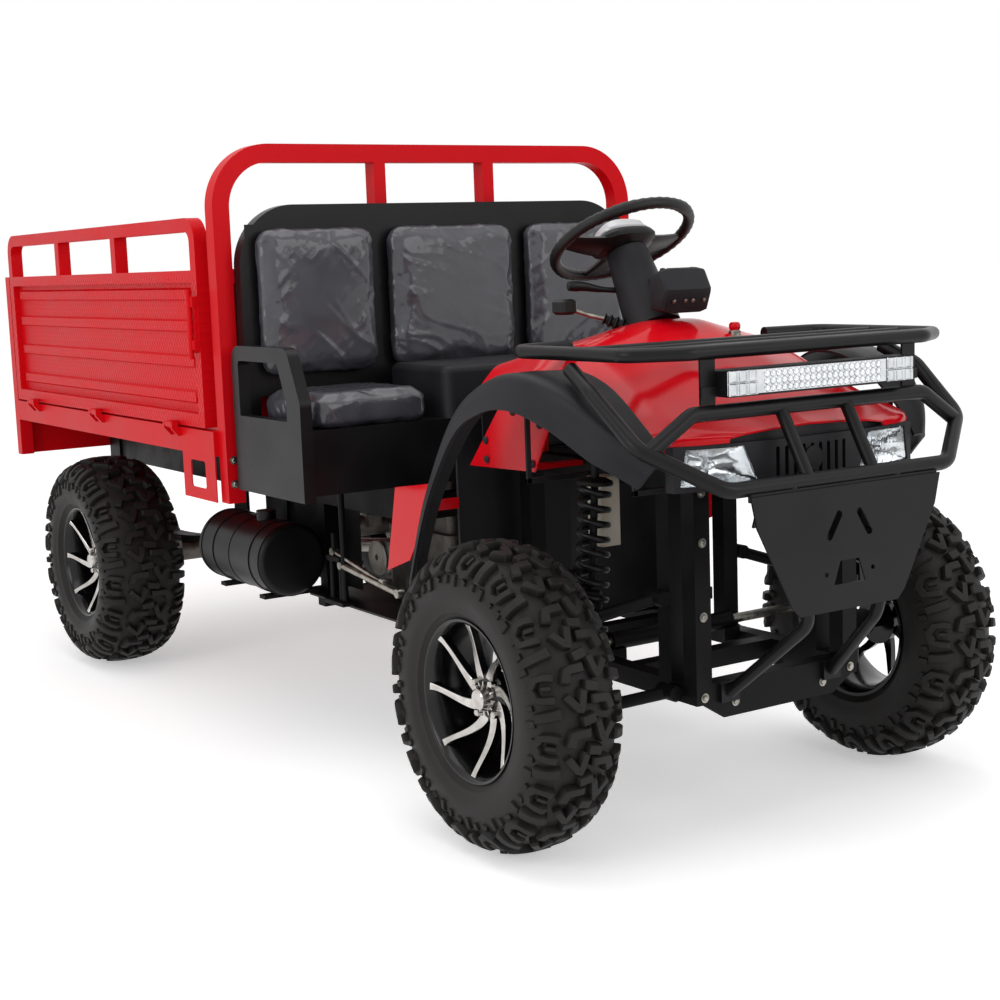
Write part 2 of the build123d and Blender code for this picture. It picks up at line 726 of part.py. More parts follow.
# Bull bar: lower and upper bars, side tubes swept back to the rack, struts and skid tubes
SKID_T = 4
bull_x = nose_x - SKID_T - BULL_TUBE_R
BULL_LOW_Z = 750
BULL_HIGH_Z = 888
BULL_HALF_W = 292
BULL_BEND = 60
ELBOW_X = 1487
ELBOW_Y = 424
ELBOW_Z = 831
SIDE_TOP_X = 1360
SIDE_TOP_Y = 437
SIDE_TOP_Z = 934
RACK_HALF_W = 420
RACK_REAR_X = 1080
RACK_FRONT_X = 1500
RACK_TIP_HALF_W = 310
side_end = (1275, RACK_HALF_W, RACK_Z - RACK_TUBE_R - BULL_TUBE_R - 1)
STRUT_Y = 86
bull_high_x = RACK_FRONT_X
SKID_TUBE_Y = 138
SKID_TUBE_LOW_Y = 92
SKID_LOW_Z = 470
SKID_FOOT_Y = 140
SKID_TUBE_R = 13
skid_tube_x = nose_x - SKID_T - SEAT_GAP - SKID_TUBE_R
hoop = [
    side_end,
    (SIDE_TOP_X, SIDE_TOP_Y, SIDE_TOP_Z),
    (ELBOW_X, ELBOW_Y, ELBOW_Z),
    (bull_x, BULL_HALF_W, BULL_LOW_Z),
    (bull_x, -BULL_HALF_W, BULL_LOW_Z),
    (ELBOW_X, -ELBOW_Y, ELBOW_Z),
    (SIDE_TOP_X, -SIDE_TOP_Y, SIDE_TOP_Z),
    (side_end[0], -side_end[1], side_end[2]),
]
upper_bar = [
    (ELBOW_X + 8, ELBOW_Y - 16, ELBOW_Z - 8),
    (bull_high_x, BULL_HALF_W + 14, BULL_HIGH_Z),
    (bull_high_x, -BULL_HALF_W - 14, BULL_HIGH_Z),
    (ELBOW_X + 8, -ELBOW_Y + 16, ELBOW_Z - 8),
]
bull_bars = [round_tube(hoop, BULL_TUBE_R, BULL_BEND), round_tube(upper_bar, BULL_TUBE_R, 40)]
for side in both_sides:
    bull_bars.append(
        round_tube([(bull_high_x, side * STRUT_Y, BULL_HIGH_Z), (bull_x, side * STRUT_Y, BULL_LOW_Z)], 13, 0)
    )
    bull_bars.append(
        round_tube(
            [
                (skid_tube_x, side * SKID_TUBE_Y, BULL_LOW_Z),
                (skid_tube_x, side * SKID_TUBE_LOW_Y, SKID_LOW_Z),
                (tower_front_x + 9, side * SKID_FOOT_Y, low_rail_top - LOW_RAIL_H / 2),
            ],
            SKID_TUBE_R,
            50,
        )
    )
    bull_bars.append(
        box_between(
            (tower_front_x, side * SKID_FOOT_Y - 24, low_rail_bottom),
            (tower_front_x + 10, side * SKID_FOOT_Y + 24, low_rail_top),
        )
    )
bull_bars.append(
    round_tube(
        [
            (bull_x, SKID_TUBE_LOW_Y + 6, SKID_LOW_Z + 40),
            (bull_x, -SKID_TUBE_LOW_Y - 6, SKID_LOW_Z + 40),
        ],
        11,
        0,
    )
)
with BuildPart() as bumper:
    for bar in bull_bars:
        add(bar)
save(bumper.part, "bumper")

# Skid plate in front of the skid tubes, with drain slots and the two holes for a winch fairlead
FAIRLEAD_PITCH = 124
FAIRLEAD_R = 5.25
FAIRLEAD_Z = 566
SKID_TOP_HALF_W = 250
SKID_LOW_HALF_W = 150
SKID_TOP_Z = 735
SKID_SLOT_Y = 40
SKID_SLOT_Z = 660
skid_low_z = SKID_LOW_Z + 22
with BuildPart() as skid_plate:
    with BuildSketch(Plane.YZ.offset(nose_x - SKID_T)):
        with BuildLine():
            Polyline(
                (-SKID_TOP_HALF_W, SKID_TOP_Z),
                (SKID_TOP_HALF_W, SKID_TOP_Z),
                (SKID_TOP_HALF_W - 14, SKID_TOP_Z - 60),
                (SKID_LOW_HALF_W, skid_low_z + 20),
                (SKID_LOW_HALF_W - 20, skid_low_z),
                (-SKID_LOW_HALF_W + 20, skid_low_z),
                (-SKID_LOW_HALF_W, skid_low_z + 20),
                (-SKID_TOP_HALF_W + 14, SKID_TOP_Z - 60),
                close=True,
            )
        make_face()
        with Locations((-FAIRLEAD_PITCH / 2, FAIRLEAD_Z), (FAIRLEAD_PITCH / 2, FAIRLEAD_Z)):
            Circle(FAIRLEAD_R, mode=Mode.SUBTRACT)
        with Locations((0, FAIRLEAD_Z)):
            Trapezoid(84, 46, 70, mode=Mode.SUBTRACT)
        for side in both_sides:
            with Locations((side * SKID_SLOT_Y, SKID_SLOT_Z)):
                SlotOverall(64, 16, rotation=side * -58, mode=Mode.SUBTRACT)
    extrude(amount=SKID_T)
save(skid_plate.part, "skid_plate")

# Front rack: hoop with tapered front corners, cross bars and feet on the tower
rack_loop = [
    (RACK_REAR_X - 20, RACK_HALF_W - 150, RACK_Z),
    (RACK_REAR_X, RACK_HALF_W, RACK_Z),
    (RACK_FRONT_X - 60, RACK_HALF_W - 12, RACK_Z),
    (RACK_FRONT_X, RACK_TIP_HALF_W, RACK_Z),
    (RACK_FRONT_X, 0, RACK_Z),
]
rack_half_bar = round_tube(rack_loop, RACK_TUBE_R, 40)
rack_bars = [rack_half_bar, flipped(rack_half_bar)]
for cross_x in (1250, 1340, 1420):
    rack_bars.append(
        round_tube([(cross_x, -RACK_HALF_W, RACK_Z), (cross_x, RACK_HALF_W, RACK_Z)], RACK_TUBE_R - 4, 0)
    )
BAR_BRACKET_Y = 266
for side in both_sides:
    rack_bars.append(
        box_between(
            (RACK_FRONT_X - 4, side * BAR_BRACKET_Y - 18, BULL_HIGH_Z + BULL_TUBE_R + SEAT_GAP),
            (RACK_FRONT_X + 1, side * BAR_BRACKET_Y + 18, RACK_Z),
        )
    )
save(joined(rack_bars), "front_rack")

# Light bar slung between the two rack brackets
LIGHT_BAR_HALF_W = 245
light_bar_x = RACK_FRONT_X - 12
with BuildPart() as light_bar:
    with BuildSketch(Plane(origin=(light_bar_x, 0, 943), x_dir=(0, 1, 0), z_dir=(1, 0, 0))):
        RectangleRounded(2 * LIGHT_BAR_HALF_W, 52, 6)
    extrude(amount=44)
    for side in both_sides:
        ear = Plane(origin=(RACK_FRONT_X + 1, side * (BAR_BRACKET_Y - 2), 928), x_dir=(0, 1, 0), z_dir=(1, 0, 0))
        with BuildSketch(ear):
            Rectangle(44, 20)
        extrude(amount=5)
save(light_bar.part, "light_bar")

# Nose: dark face with lamp pockets, grille slots and a bare boss, and the headlamps
FACE_TOP_Z = 824
FACE_LOW_Z = 736
FACE_T = 24
FACE_SIDE_X = 1457
FACE_HALF_W = 318
FACE_BOW = 42
LAMP_PROUD = 3
LAMP_DEPTH = 34
BOSS_R = 24
lamp_corners = [(135, 746), (305, 746), (292, 818), (166, 818)]
face_mid_x = FACE_SIDE_X + FACE_BOW


def face_band(ahead, behind, low_z, high_z):
    """Bowed wall across the nose, from a step ahead of the face to a step behind it."""
    with BuildPart() as wall:
        with BuildSketch(Plane.XY.offset(low_z)):
            with BuildLine():
                ends = []
                for step in (ahead, -behind):
                    ends.append(
                        ThreePointArc(
                            (FACE_SIDE_X + step, -FACE_HALF_W),
                            (face_mid_x + step, 0),
                            (FACE_SIDE_X + step, FACE_HALF_W),
                        )
                    )
                Line(ends[0] @ 0, ends[1] @ 0)
                Line(ends[0] @ 1, ends[1] @ 1)
            make_face()
        extrude(amount=high_z - low_z)
    return wall.part


def lamp_prism(gap):
    """Four-cornered block along X through the left lamp opening, drawn in by a gap."""
    with BuildPart() as prism:
        with BuildSketch(Plane.YZ.offset(FACE_SIDE_X - 100)):
            with BuildLine():
                Polyline(*lamp_corners, close=True)
            make_face()
            offset(amount=-gap, kind=Kind.INTERSECTION, mode=Mode.REPLACE)
        extrude(amount=200)
    return prism.part


with BuildPart() as front_face:
    add(face_band(0, FACE_T, FACE_LOW_Z, FACE_TOP_Z))
    add(lamp_prism(0), mode=Mode.SUBTRACT)
    add(flipped(lamp_prism(0)), mode=Mode.SUBTRACT)
    with BuildSketch(Plane.YZ.offset(FACE_SIDE_X - 60)):
        with GridLocations(22, 0, 9, 1):
            with Locations((0, (FACE_LOW_Z + FACE_TOP_Z) / 2)):
                SlotOverall(60, 9, rotation=90)
    extrude(amount=160, mode=Mode.SUBTRACT)
    with BuildSketch(Plane.YZ.offset(face_mid_x - FACE_T / 2)):
        with Locations((0, (FACE_LOW_Z + FACE_TOP_Z) / 2)):
            Circle(BOSS_R)
    extrude(amount=FACE_T / 2 + 4)
    with BuildSketch(Plane.YZ.offset(tower_front_x)):
        for side in both_sides:
            with Locations((side * (LOW_RAIL_Y - 90), FACE_LOW_Z + 7)):
                Rectangle(LOW_RAIL_W - 8, 14)
    extrude(amount=face_mid_x - FACE_T / 2 - 10 - tower_front_x)
save(front_face.part, "front_face")

with BuildPart() as lamp_left:
    add(face_band(LAMP_PROUD, LAMP_DEPTH, FACE_LOW_Z, FACE_TOP_Z))
    add(lamp_prism(SEAT_GAP), mode=Mode.INTERSECT)
save(apart([lamp_left.part, flipped(lamp_left.part)]), "headlights")

# Steering column: shaft down to the tower, tapered shroud, arm for the instrument pod
column = Plane(origin=(STEER_X, 0, STEER_Z), x_dir=(0, 1, 0), z_dir=(-sin(column_lean), 0, cos(column_lean)))
column_reach = (STEER_Z - tower_top_z) / cos(column_lean)
SHAFT_R = 16
SHROUD_TOP_R = 46
SHROUD_LOW_R = 62
SHROUD_LENGTH = 190
STUB_R = 11
POD_X = 1065
pod_arm_z = 1100
with BuildPart() as steering_column:
    with BuildSketch(column.offset(-column_reach + 12)):
        Circle(SHAFT_R)
    extrude(amount=column_reach - 40)
    with BuildSketch(column.offset(-30)):
        Circle(STUB_R)
    extrude(amount=34)
    with BuildSketch(column.offset(-32 - SHROUD_LENGTH)):
        Circle(SHROUD_LOW_R)
    with BuildSketch(column.offset(-32)):
        Circle(SHROUD_TOP_R)
    loft()
    with BuildSketch(Plane(origin=(POD_X, 0, pod_arm_z), z_dir=(-1, 0, 0))):
        Rectangle(70, 30)
    extrude(amount=100)
    with BuildSketch(Plane.XY.offset(tower_top_z)):
        with Locations((COLUMN_FOOT_X, 0)):
            Rectangle(POST, 80)
    extrude(amount=26)
save(steering_column.part, "steering_column")

# Steering wheel: eight-sided grip ring, three spokes and a hub bored for the column stub
grip_ring_r = STEER_RIM_R - STEER_GRIP_R
ring = [
    (grip_ring_r + STEER_GRIP_R * cos(radians(a)), STEER_GRIP_R * sin(radians(a))) for a in range(0, 360, 45)
]
with BuildPart() as steering_wheel:
    with BuildSketch(Plane.XZ):
        with BuildLine():
            Polyline(*ring, close=True)
        make_face()
    revolve(axis=Axis.Z)
    with BuildSketch(Plane.XY.offset(-26)):
        Circle(44)
    extrude(amount=36)
    with BuildSketch(Plane.XY.offset(-9)):
        with PolarLocations(grip_ring_r / 2, 3, start_angle=90):
            Rectangle(grip_ring_r, 40)
    extrude(amount=10)
    with BuildSketch(Plane.XY.offset(-30)):
        Circle(STUB_R + RUN_GAP)
    extrude(amount=36, mode=Mode.SUBTRACT)
with BuildPart() as steering_wheel_placed:
    with Locations(column.location):
        add(steering_wheel.part)
save(steering_wheel_placed.part, "steering_wheel")

# Instrument pod on the column arm
POD_HALF_W = 64
POD_DEPTH = 68
POD_LOW_Z = 1062
POD_H = 96
pod_side = [(0, 0), (0, 0.8), (0.6, 1), (1, 0.5), (0.72, 0)]
with BuildPart() as instrument_pod:
    with BuildSketch(Plane(origin=(0, POD_HALF_W, 0), x_dir=(1, 0, 0), z_dir=(0, -1, 0))):
        with BuildLine():
            Polyline(*[(POD_X + x * POD_DEPTH, POD_LOW_Z + z * POD_H) for x, z in pod_side], close=True)
        make_face()
    extrude(amount=2 * POD_HALF_W)
save(instrument_pod.part, "instrument_pod")

# Hood: a thin shell over straight stations, with a hole for the column
HOOD_WALL = 4
HOOD_SKIRT = 10
HOOD_LEG_X = (850, 1300)
HOOD_LEG_SPLIT_Z = 900
hood_table = [
    # x, edge half-width, edge z, shoulder half-width, shoulder z, ridge half-width, ridge z
    (762, 335, 880, 262, 955, 150, 975),
    (1010, 330, 948, 250, 1000, 74, 1040),
    (1100, 330, 943, 254, 990, 68, 1040),
    (1230, 333, 898, 262, 938, 112, 968),
    (1436, 330, 842, 262, 854, 118, 866),
    (1490, 205, 838, 165, 843, 100, 847),
]


def hood_loft(inset):
    """Solid under the hood stations, drawn in by a wall thickness."""
    with BuildPart() as body:
        for x, edge_w, edge_z, side_w, side_z, ridge_w, ridge_z in hood_table:
            half = [
                (edge_w - inset, edge_z - HOOD_SKIRT - 2 * inset),
                (edge_w - inset, edge_z - inset),
                (side_w - inset, side_z - inset),
                (ridge_w - inset / 2, ridge_z - inset),
            ]
            with BuildSketch(Plane.YZ.offset(x)):
                with BuildLine():
                    Polyline(*half, *[(-y, z) for y, z in reversed(half)], close=True)
                make_face()
        loft(ruled=True)
    return body.part


hood_outer = hood_loft(0)
hood_inner = hood_loft(HOOD_WALL)
hood_legs = []
for leg_x in HOOD_LEG_X:
    for side in both_sides:
        with BuildPart() as leg_top:
            with BuildSketch(Plane.XY.offset(HOOD_LEG_SPLIT_Z - 5)):
                with Locations((leg_x, side * LOW_RAIL_Y)):
                    Rectangle(24, 16)
            extrude(amount=200)
            add(hood_outer, mode=Mode.INTERSECT)
        foot_y = side * LOW_RAIL_Y
        leg_low = box_between(
            (leg_x - 12, foot_y - 8, tower_top_z),
            (leg_x + 12, foot_y + 8, HOOD_LEG_SPLIT_Z),
        )
        hood_legs += [leg_top.part, leg_low]
with BuildPart() as hood:
    add(hood_outer)
    add(hood_inner, mode=Mode.SUBTRACT)
    for leg in hood_legs:
        add(leg)
    with BuildSketch(column.offset(-330)):
        Circle(SHROUD_LOW_R + 5)
    extrude(amount=250, mode=Mode.SUBTRACT)
save(hood.part, "hood")

# Wheel-arch flares: a top strip and a hanging lip, lofted along the arch
FLARE_T = 4
flare_table = [
    # x, z, outer y, inner y, lip drop
    (770, 500, 520, 480, 30),
    (850, 690, 520, 470, 34),
    (960, 862, 515, 440, 45),
    (1060, 938, 505, 372, 60),
    (1170, 964, 495, 345, 72),
    (1290, 936, 475, 340, 78),
    (1400, 858, 425, 335, 80),
    (1462, 795, 365, 325, 72),
]
with BuildPart() as flare_left:
    for index, (x, z, out_y, in_y, lip) in enumerate(flare_table):
        before = flare_table[max(index - 1, 0)]
        after = flare_table[min(index + 1, len(flare_table) - 1)]
        along = Vector(after[0] - before[0], 0, after[1] - before[1]).normalized()
        section = Plane(origin=(x, 0, z), x_dir=(0, 1, 0), z_dir=along)
        with BuildSketch(section):
            with BuildLine():
                Polyline(
                    (in_y, 0),
                    (out_y, 0),
                    (out_y + 4, -lip),
                    (out_y + 4 - FLARE_T, -lip),
                    (out_y - FLARE_T, -FLARE_T),
                    (in_y, -FLARE_T),
                    close=True,
                )
            make_face()
    loft(ruled=True)
flare_stays = [
    # x, inner y and top z of the two upright stays under each flare
    (1061, 376, 934.5),
    (1373, 340, 873),
]
stay_bars = []
for stay_x, stay_y, stay_z in flare_stays:
    stay_bars.append(box_between((stay_x - 3, low_rail_out, 726), (stay_x + 3, stay_y + 12, 738)))
    stay_bars.append(box_between((stay_x - 3, stay_y, 726), (stay_x + 3, stay_y + 12, stay_z)))
flare_held = joined([flare_left.part, *stay_bars])
save(apart([flare_held, flipped(flare_held)]), "fenders")

# Firewall on the front edge of the floor
firewall_x = floor_front_x - 8
FIREWALL_TOP_Z = 872
with BuildPart() as firewall:
    with BuildSketch(Plane.YZ.offset(firewall_x)):
        with BuildLine():
            Polyline(
                (-FLOOR_HALF_W + 8, FLOOR_Z),
                (FLOOR_HALF_W - 8, FLOOR_Z),
                (FLOOR_HALF_W - 8, FIREWALL_TOP_Z - 40),
                (FLOOR_HALF_W - 45, FIREWALL_TOP_Z),
                (-FLOOR_HALF_W + 45, FIREWALL_TOP_Z),
                (-FLOOR_HALF_W + 8, FIREWALL_TOP_Z - 40),
                close=True,
            )
        make_face()
    extrude(amount=8)
    for side in both_sides:
        with BuildSketch(Plane.XY.offset(tower_top_z)):
            with Locations(((firewall_x + 4 + tower_rear_x + POST) / 2, side * LOW_RAIL_Y)):
                Rectangle(tower_rear_x + POST - firewall_x - 4, LOW_RAIL_W)
        extrude(amount=8)
save(firewall.part, "firewall")

# Red panels inside the wheel arch and beside the footwell, on small brackets
ARCH_PANEL_Y = 350
LEG_PANEL_Y = 450
arch_panel = [(779, 739), (911, 880), (1000, 884), (1098, 850), (1036, 745)]
leg_panel = [(612, 684), (808, 712), (666, 522), (561, 485)]


def panel_shape(outline, y):
    """Flat sheet at one side of the vehicle."""
    with BuildPart() as sheet:
        with BuildSketch(Plane(origin=(0, y, 0), x_dir=(1, 0, 0), z_dir=(0, -1, 0))):
            with BuildLine():
                Polyline(*outline, close=True)
            make_face()
        extrude(amount=SHEET)
    return sheet.part


arch_bracket = box_between((1000, low_rail_out, 748), (1030, ARCH_PANEL_Y - 1, 758))
leg_bracket = box_between((firewall_x, FLOOR_HALF_W - 8, 640), (firewall_x + 8, LEG_PANEL_Y - 1, 664))
arch_left = joined([panel_shape(arch_panel, ARCH_PANEL_Y), arch_bracket])
leg_left = joined([panel_shape(leg_panel, LEG_PANEL_Y), leg_bracket])
save(apart([arch_left, flipped(arch_left), leg_left, flipped(leg_left)]), "side_panels")

# Brake and throttle pedals hung on the firewall


def pedal_shape(y, z):
    """Pad on an arm that reaches back from the firewall."""
    return joined(
        [
            box_between((firewall_x - 60, y - 6, z), (firewall_x, y + 6, z + 14)),
            box_between((firewall_x - 72, y - 32, z - 24), (firewall_x - 58, y + 32, z + 38)),
        ]
    )


save(apart([pedal_shape(-130, 430), pedal_shape(110, 440)]), "pedals")

# Seat: sheet box, back frame, cushions, centre box and arm hoops
SEAT_REAR_X = HEADBOARD_X + HEADBOARD_TUBE + 5
with BuildPart() as seat_base:
    with BuildSketch(Plane.XY.offset(RAIL_TOP)):
        with Locations(((SEAT_REAR_X + SEAT_FRONT_X) / 2, 0)):
            Rectangle(SEAT_FRONT_X - SEAT_REAR_X, 2 * SEAT_HALF_W)
    extrude(amount=SEAT_PAN_Z - RAIL_TOP)
    with BuildSketch(Plane.XY.offset(RAIL_TOP)):
        with Locations(((SEAT_REAR_X + SEAT_FRONT_X) / 2, 0)):
            Rectangle(SEAT_FRONT_X - SEAT_REAR_X - 2 * SHEET, 2 * (SEAT_HALF_W - SHEET))
    extrude(amount=SEAT_PAN_Z - RAIL_TOP - SHEET, mode=Mode.SUBTRACT)
    with BuildSketch(Plane.XY.offset(RAIL_TOP)):
        for side in both_sides:
            with Locations(((SEAT_REAR_X + SEAT_FRONT_X) / 2, side * RAIL_Y)):
                Rectangle(SEAT_FRONT_X - SEAT_REAR_X - 60, RAIL_W)
    extrude(amount=SHEET)
    with BuildSketch(Plane.XY.offset(RAIL_TOP + SHEET)):
        for side in both_sides:
            with Locations((SEAT_REAR_X + 60, side * RAIL_Y)):
                Rectangle(8, RAIL_W)
            with Locations((SEAT_FRONT_X - 60, side * RAIL_Y)):
                Rectangle(8, RAIL_W)
    extrude(amount=SEAT_PAN_Z - RAIL_TOP - SHEET)
save(seat_base.part, "seat_base")

SEAT_TOP_BEND = 150
seat_back_x = SEAT_REAR_X + SEAT_TUBE
with BuildPart() as seat_back_frame:
    with BuildSketch(Plane.YZ.offset(SEAT_REAR_X)):
        with BuildLine():
            FilletPolyline(
                (-SEAT_HALF_W, SEAT_PAN_Z),
                (-SEAT_HALF_W, SEAT_BACK_TOP_Z),
                (SEAT_HALF_W, SEAT_BACK_TOP_Z),
                (SEAT_HALF_W, SEAT_PAN_Z),
                radius=SEAT_TOP_BEND,
            )
            Line((-SEAT_HALF_W, SEAT_PAN_Z), (SEAT_HALF_W, SEAT_PAN_Z))
        make_face()
        with BuildLine():
            FilletPolyline(
                (-SEAT_HALF_W + SEAT_TUBE, SEAT_PAN_Z),
                (-SEAT_HALF_W + SEAT_TUBE, SEAT_BACK_TOP_Z - SEAT_TUBE),
                (SEAT_HALF_W - SEAT_TUBE, SEAT_BACK_TOP_Z - SEAT_TUBE),
                (SEAT_HALF_W - SEAT_TUBE, SEAT_PAN_Z),
                radius=SEAT_TOP_BEND - SEAT_TUBE,
            )
            Line((-SEAT_HALF_W + SEAT_TUBE, SEAT_PAN_Z), (SEAT_HALF_W - SEAT_TUBE, SEAT_PAN_Z))
        make_face(mode=Mode.SUBTRACT)
    extrude(amount=SEAT_TUBE)
    with BuildSketch(Plane.YZ.offset(seat_back_x)):
        with Locations((0, 1085)):
            Rectangle(2 * SEAT_HALF_W - SEAT_TUBE, 420)
    extrude(amount=-SHEET)
save(seat_back_frame.part, "seat_back_frame")

CUSHION_SPLIT = 210
CUSHION_SEAM = 10
BACK_LOW_Z = 905
BACK_HIGH_Z = 1305
cushion_table = [
    # low y, high y of the three back cushions
    (-SEAT_HALF_W + 15, -CUSHION_SPLIT - CUSHION_SEAM / 2),
    (-CUSHION_SPLIT + CUSHION_SEAM / 2, CUSHION_SPLIT - CUSHION_SEAM / 2),
    (CUSHION_SPLIT + CUSHION_SEAM / 2, SEAT_HALF_W - 15),
]
back_cushions = []
for low_y, high_y in cushion_table:
    with BuildPart() as cushion:
        with BuildSketch(Plane.YZ.offset(seat_back_x)):
            with Locations(((low_y + high_y) / 2, (BACK_LOW_Z + BACK_HIGH_Z) / 2)):
                RectangleRounded(high_y - low_y, BACK_HIGH_Z - BACK_LOW_Z, 28)
        extrude(amount=BACK_CUSHION_T)
        fillet(cushion.faces().sort_by(Axis.X)[-1].edges(), radius=16)
    back_cushions.append(cushion.part)
save(apart(back_cushions), "back_cushions")

BOX_HALF_W = 217
SEAT_NOSE = 16
with BuildPart() as seat_cushion:
    with BuildSketch(Plane.XY.offset(SEAT_PAN_Z)):
        low_x = seat_back_x + 3
        high_x = SEAT_FRONT_X + SEAT_NOSE
        low_y = BOX_HALF_W + 18
        high_y = SEAT_HALF_W - 7
        with Locations(((low_x + high_x) / 2, (low_y + high_y) / 2)):
            RectangleRounded(high_x - low_x, high_y - low_y, 30)
    extrude(amount=CUSHION_T)
    fillet(seat_cushion.faces().sort_by(Axis.Z)[-1].edges(), radius=22)
save(apart([seat_cushion.part, flipped(seat_cushion.part)]), "seat_cushions")

CENTRE_BOX_TOP_Z = 940
with BuildPart() as centre_box:
    with BuildSketch(Plane.XY.offset(SEAT_PAN_Z)):
        low_x = seat_back_x + BACK_CUSHION_T + 4
        with Locations(((low_x + SEAT_FRONT_X + 10) / 2, 0)):
            RectangleRounded(SEAT_FRONT_X + 10 - low_x, 2 * BOX_HALF_W, 30)
    extrude(amount=CENTRE_BOX_TOP_Z - SEAT_PAN_Z)
    fillet(centre_box.faces().sort_by(Axis.Z)[-1].edges(), radius=18)
save(centre_box.part, "centre_box")

ARM_HOOP_T = 30
ARM_HOOP_Z = 1005
ARM_LOW_Z = 650
arm_x = (SEAT_REAR_X + 20, SEAT_FRONT_X + 25)
with BuildPart() as arm_left:
    with BuildSketch(Plane(origin=(0, SEAT_HALF_W + ARM_HOOP_T, 0), x_dir=(1, 0, 0), z_dir=(0, -1, 0))):
        with BuildLine():
            FilletPolyline(
                (arm_x[0], ARM_LOW_Z),
                (arm_x[0], ARM_HOOP_Z),
                (arm_x[1] - 60, ARM_HOOP_Z),
                (arm_x[1], 880),
                (arm_x[1], ARM_LOW_Z),
                radius=40,
            )
            Line((arm_x[0], ARM_LOW_Z), (arm_x[1], ARM_LOW_Z))
        make_face()
        with BuildLine():
            FilletPolyline(
                (arm_x[0] + 36, 835),
                (arm_x[0] + 36, ARM_HOOP_Z - 36),
                (arm_x[1] - 112, ARM_HOOP_Z - 36),
                (arm_x[1] - 70, 880),
                (arm_x[1] - 70, 835),
                radius=12,
            )
            Line((arm_x[0] + 36, 835), (arm_x[1] - 70, 835))
        make_face(mode=Mode.SUBTRACT)
    extrude(amount=ARM_HOOP_T)
save(apart([arm_left.part, flipped(arm_left.part)]), "armrests")

# Cargo bed: floor on cross bars and bearers, sills with hinge lugs, front brackets
bed_rear_x = tail_x + 65
sill_z = BED_SILL_Z - SILL_H
sill_in = BED_HALF_W - SILL_W
HINGE_PIN_R = 5
HINGE_OUT = 16
hinge_y = BED_HALF_W + HINGE_OUT
hinge_z = BED_SILL_Z + 7
tail_hinge_x = tail_x + HINGE_R
tail_face_x = tail_hinge_x + HINGE_OUT
bed_span = HEADBOARD_X - bed_rear_x
side_hinges = [bed_rear_x + share * bed_span for share in (0.13, 0.49, 0.85)]
tail_hinges = (-420, 0, 420)
HINGE_HALF = 20
LUG_T = 10
bed_floor_z = BED_SILL_Z - BED_FLOOR_DROP
bed_bars = [
    box_between((bed_rear_x, -sill_in, bed_floor_z - BED_FLOOR_T), (HEADBOARD_X, sill_in, bed_floor_z))
]
bed_crosses = [bed_rear_x + share * bed_span for share in (0, 0.24, 0.48, 0.72)]
for cross_x in (*bed_crosses, HEADBOARD_X - 60):
    bed_bars.append(
        box_between((cross_x, -sill_in, sill_z), (cross_x + 60, sill_in, bed_floor_z - BED_FLOOR_T))
    )
for side in both_sides:
    low_y, high_y = sorted((side * sill_in, side * BED_HALF_W))
    bed_bars.append(box_between((bed_rear_x, low_y, sill_z), (HEADBOARD_X, high_y, BED_SILL_Z)))
    low_y, high_y = sorted((side * rail_in, side * rail_out))
    bed_bars.append(box_between((bed_rear_x, low_y, RAIL_TOP), (HEADBOARD_X, high_y, sill_z)))
BRACKET_X = -155
with BuildPart() as bracket_left:
    with BuildSketch(Plane(origin=(0, BED_HALF_W, 0), x_dir=(1, 0, 0), z_dir=(0, -1, 0))):
        with Locations(((BRACKET_X + HEADBOARD_X) / 2, (BED_SKIRT_Z + sill_z) / 2)):
            Rectangle(HEADBOARD_X - BRACKET_X, sill_z - BED_SKIRT_Z)
        with Locations((-58, 676)):
            RectangleRounded(92, 70, 8, mode=Mode.SUBTRACT)
    extrude(amount=SHEET)
bed_bars += [bracket_left.part, flipped(bracket_left.part)]


def hinge_lugs(at):
    """Two lugs and their pin on the left sill."""
    lug = [
        (BED_HALF_W - 2, hinge_z - 30),
        (BED_HALF_W + 8, hinge_z - 30),
        (hinge_y + HINGE_R, hinge_z - 10),
        (hinge_y + HINGE_R, hinge_z + 6),
        (hinge_y - HINGE_R, hinge_z + 6),
        (hinge_y - HINGE_R, BED_SILL_Z - 2),
        (BED_HALF_W - 2, BED_SILL_Z - 2),
    ]
    with BuildPart() as lugs:
        for end in both_sides:
            with BuildSketch(Plane.YZ.offset(at + end * (HINGE_HALF + 1))):
                with BuildLine():
                    Polyline(*lug, close=True)
                make_face()
            extrude(amount=end * LUG_T)
        with BuildSketch(Plane(origin=(at - HINGE_HALF - 2, hinge_y, hinge_z), z_dir=(1, 0, 0))):
            Circle(HINGE_PIN_R)
        extrude(amount=2 * HINGE_HALF + 4)
    return lugs.part


for at in side_hinges:
    left_lugs = hinge_lugs(at)
    bed_bars += [left_lugs, flipped(left_lugs)]
save(joined(bed_bars), "bed_frame")

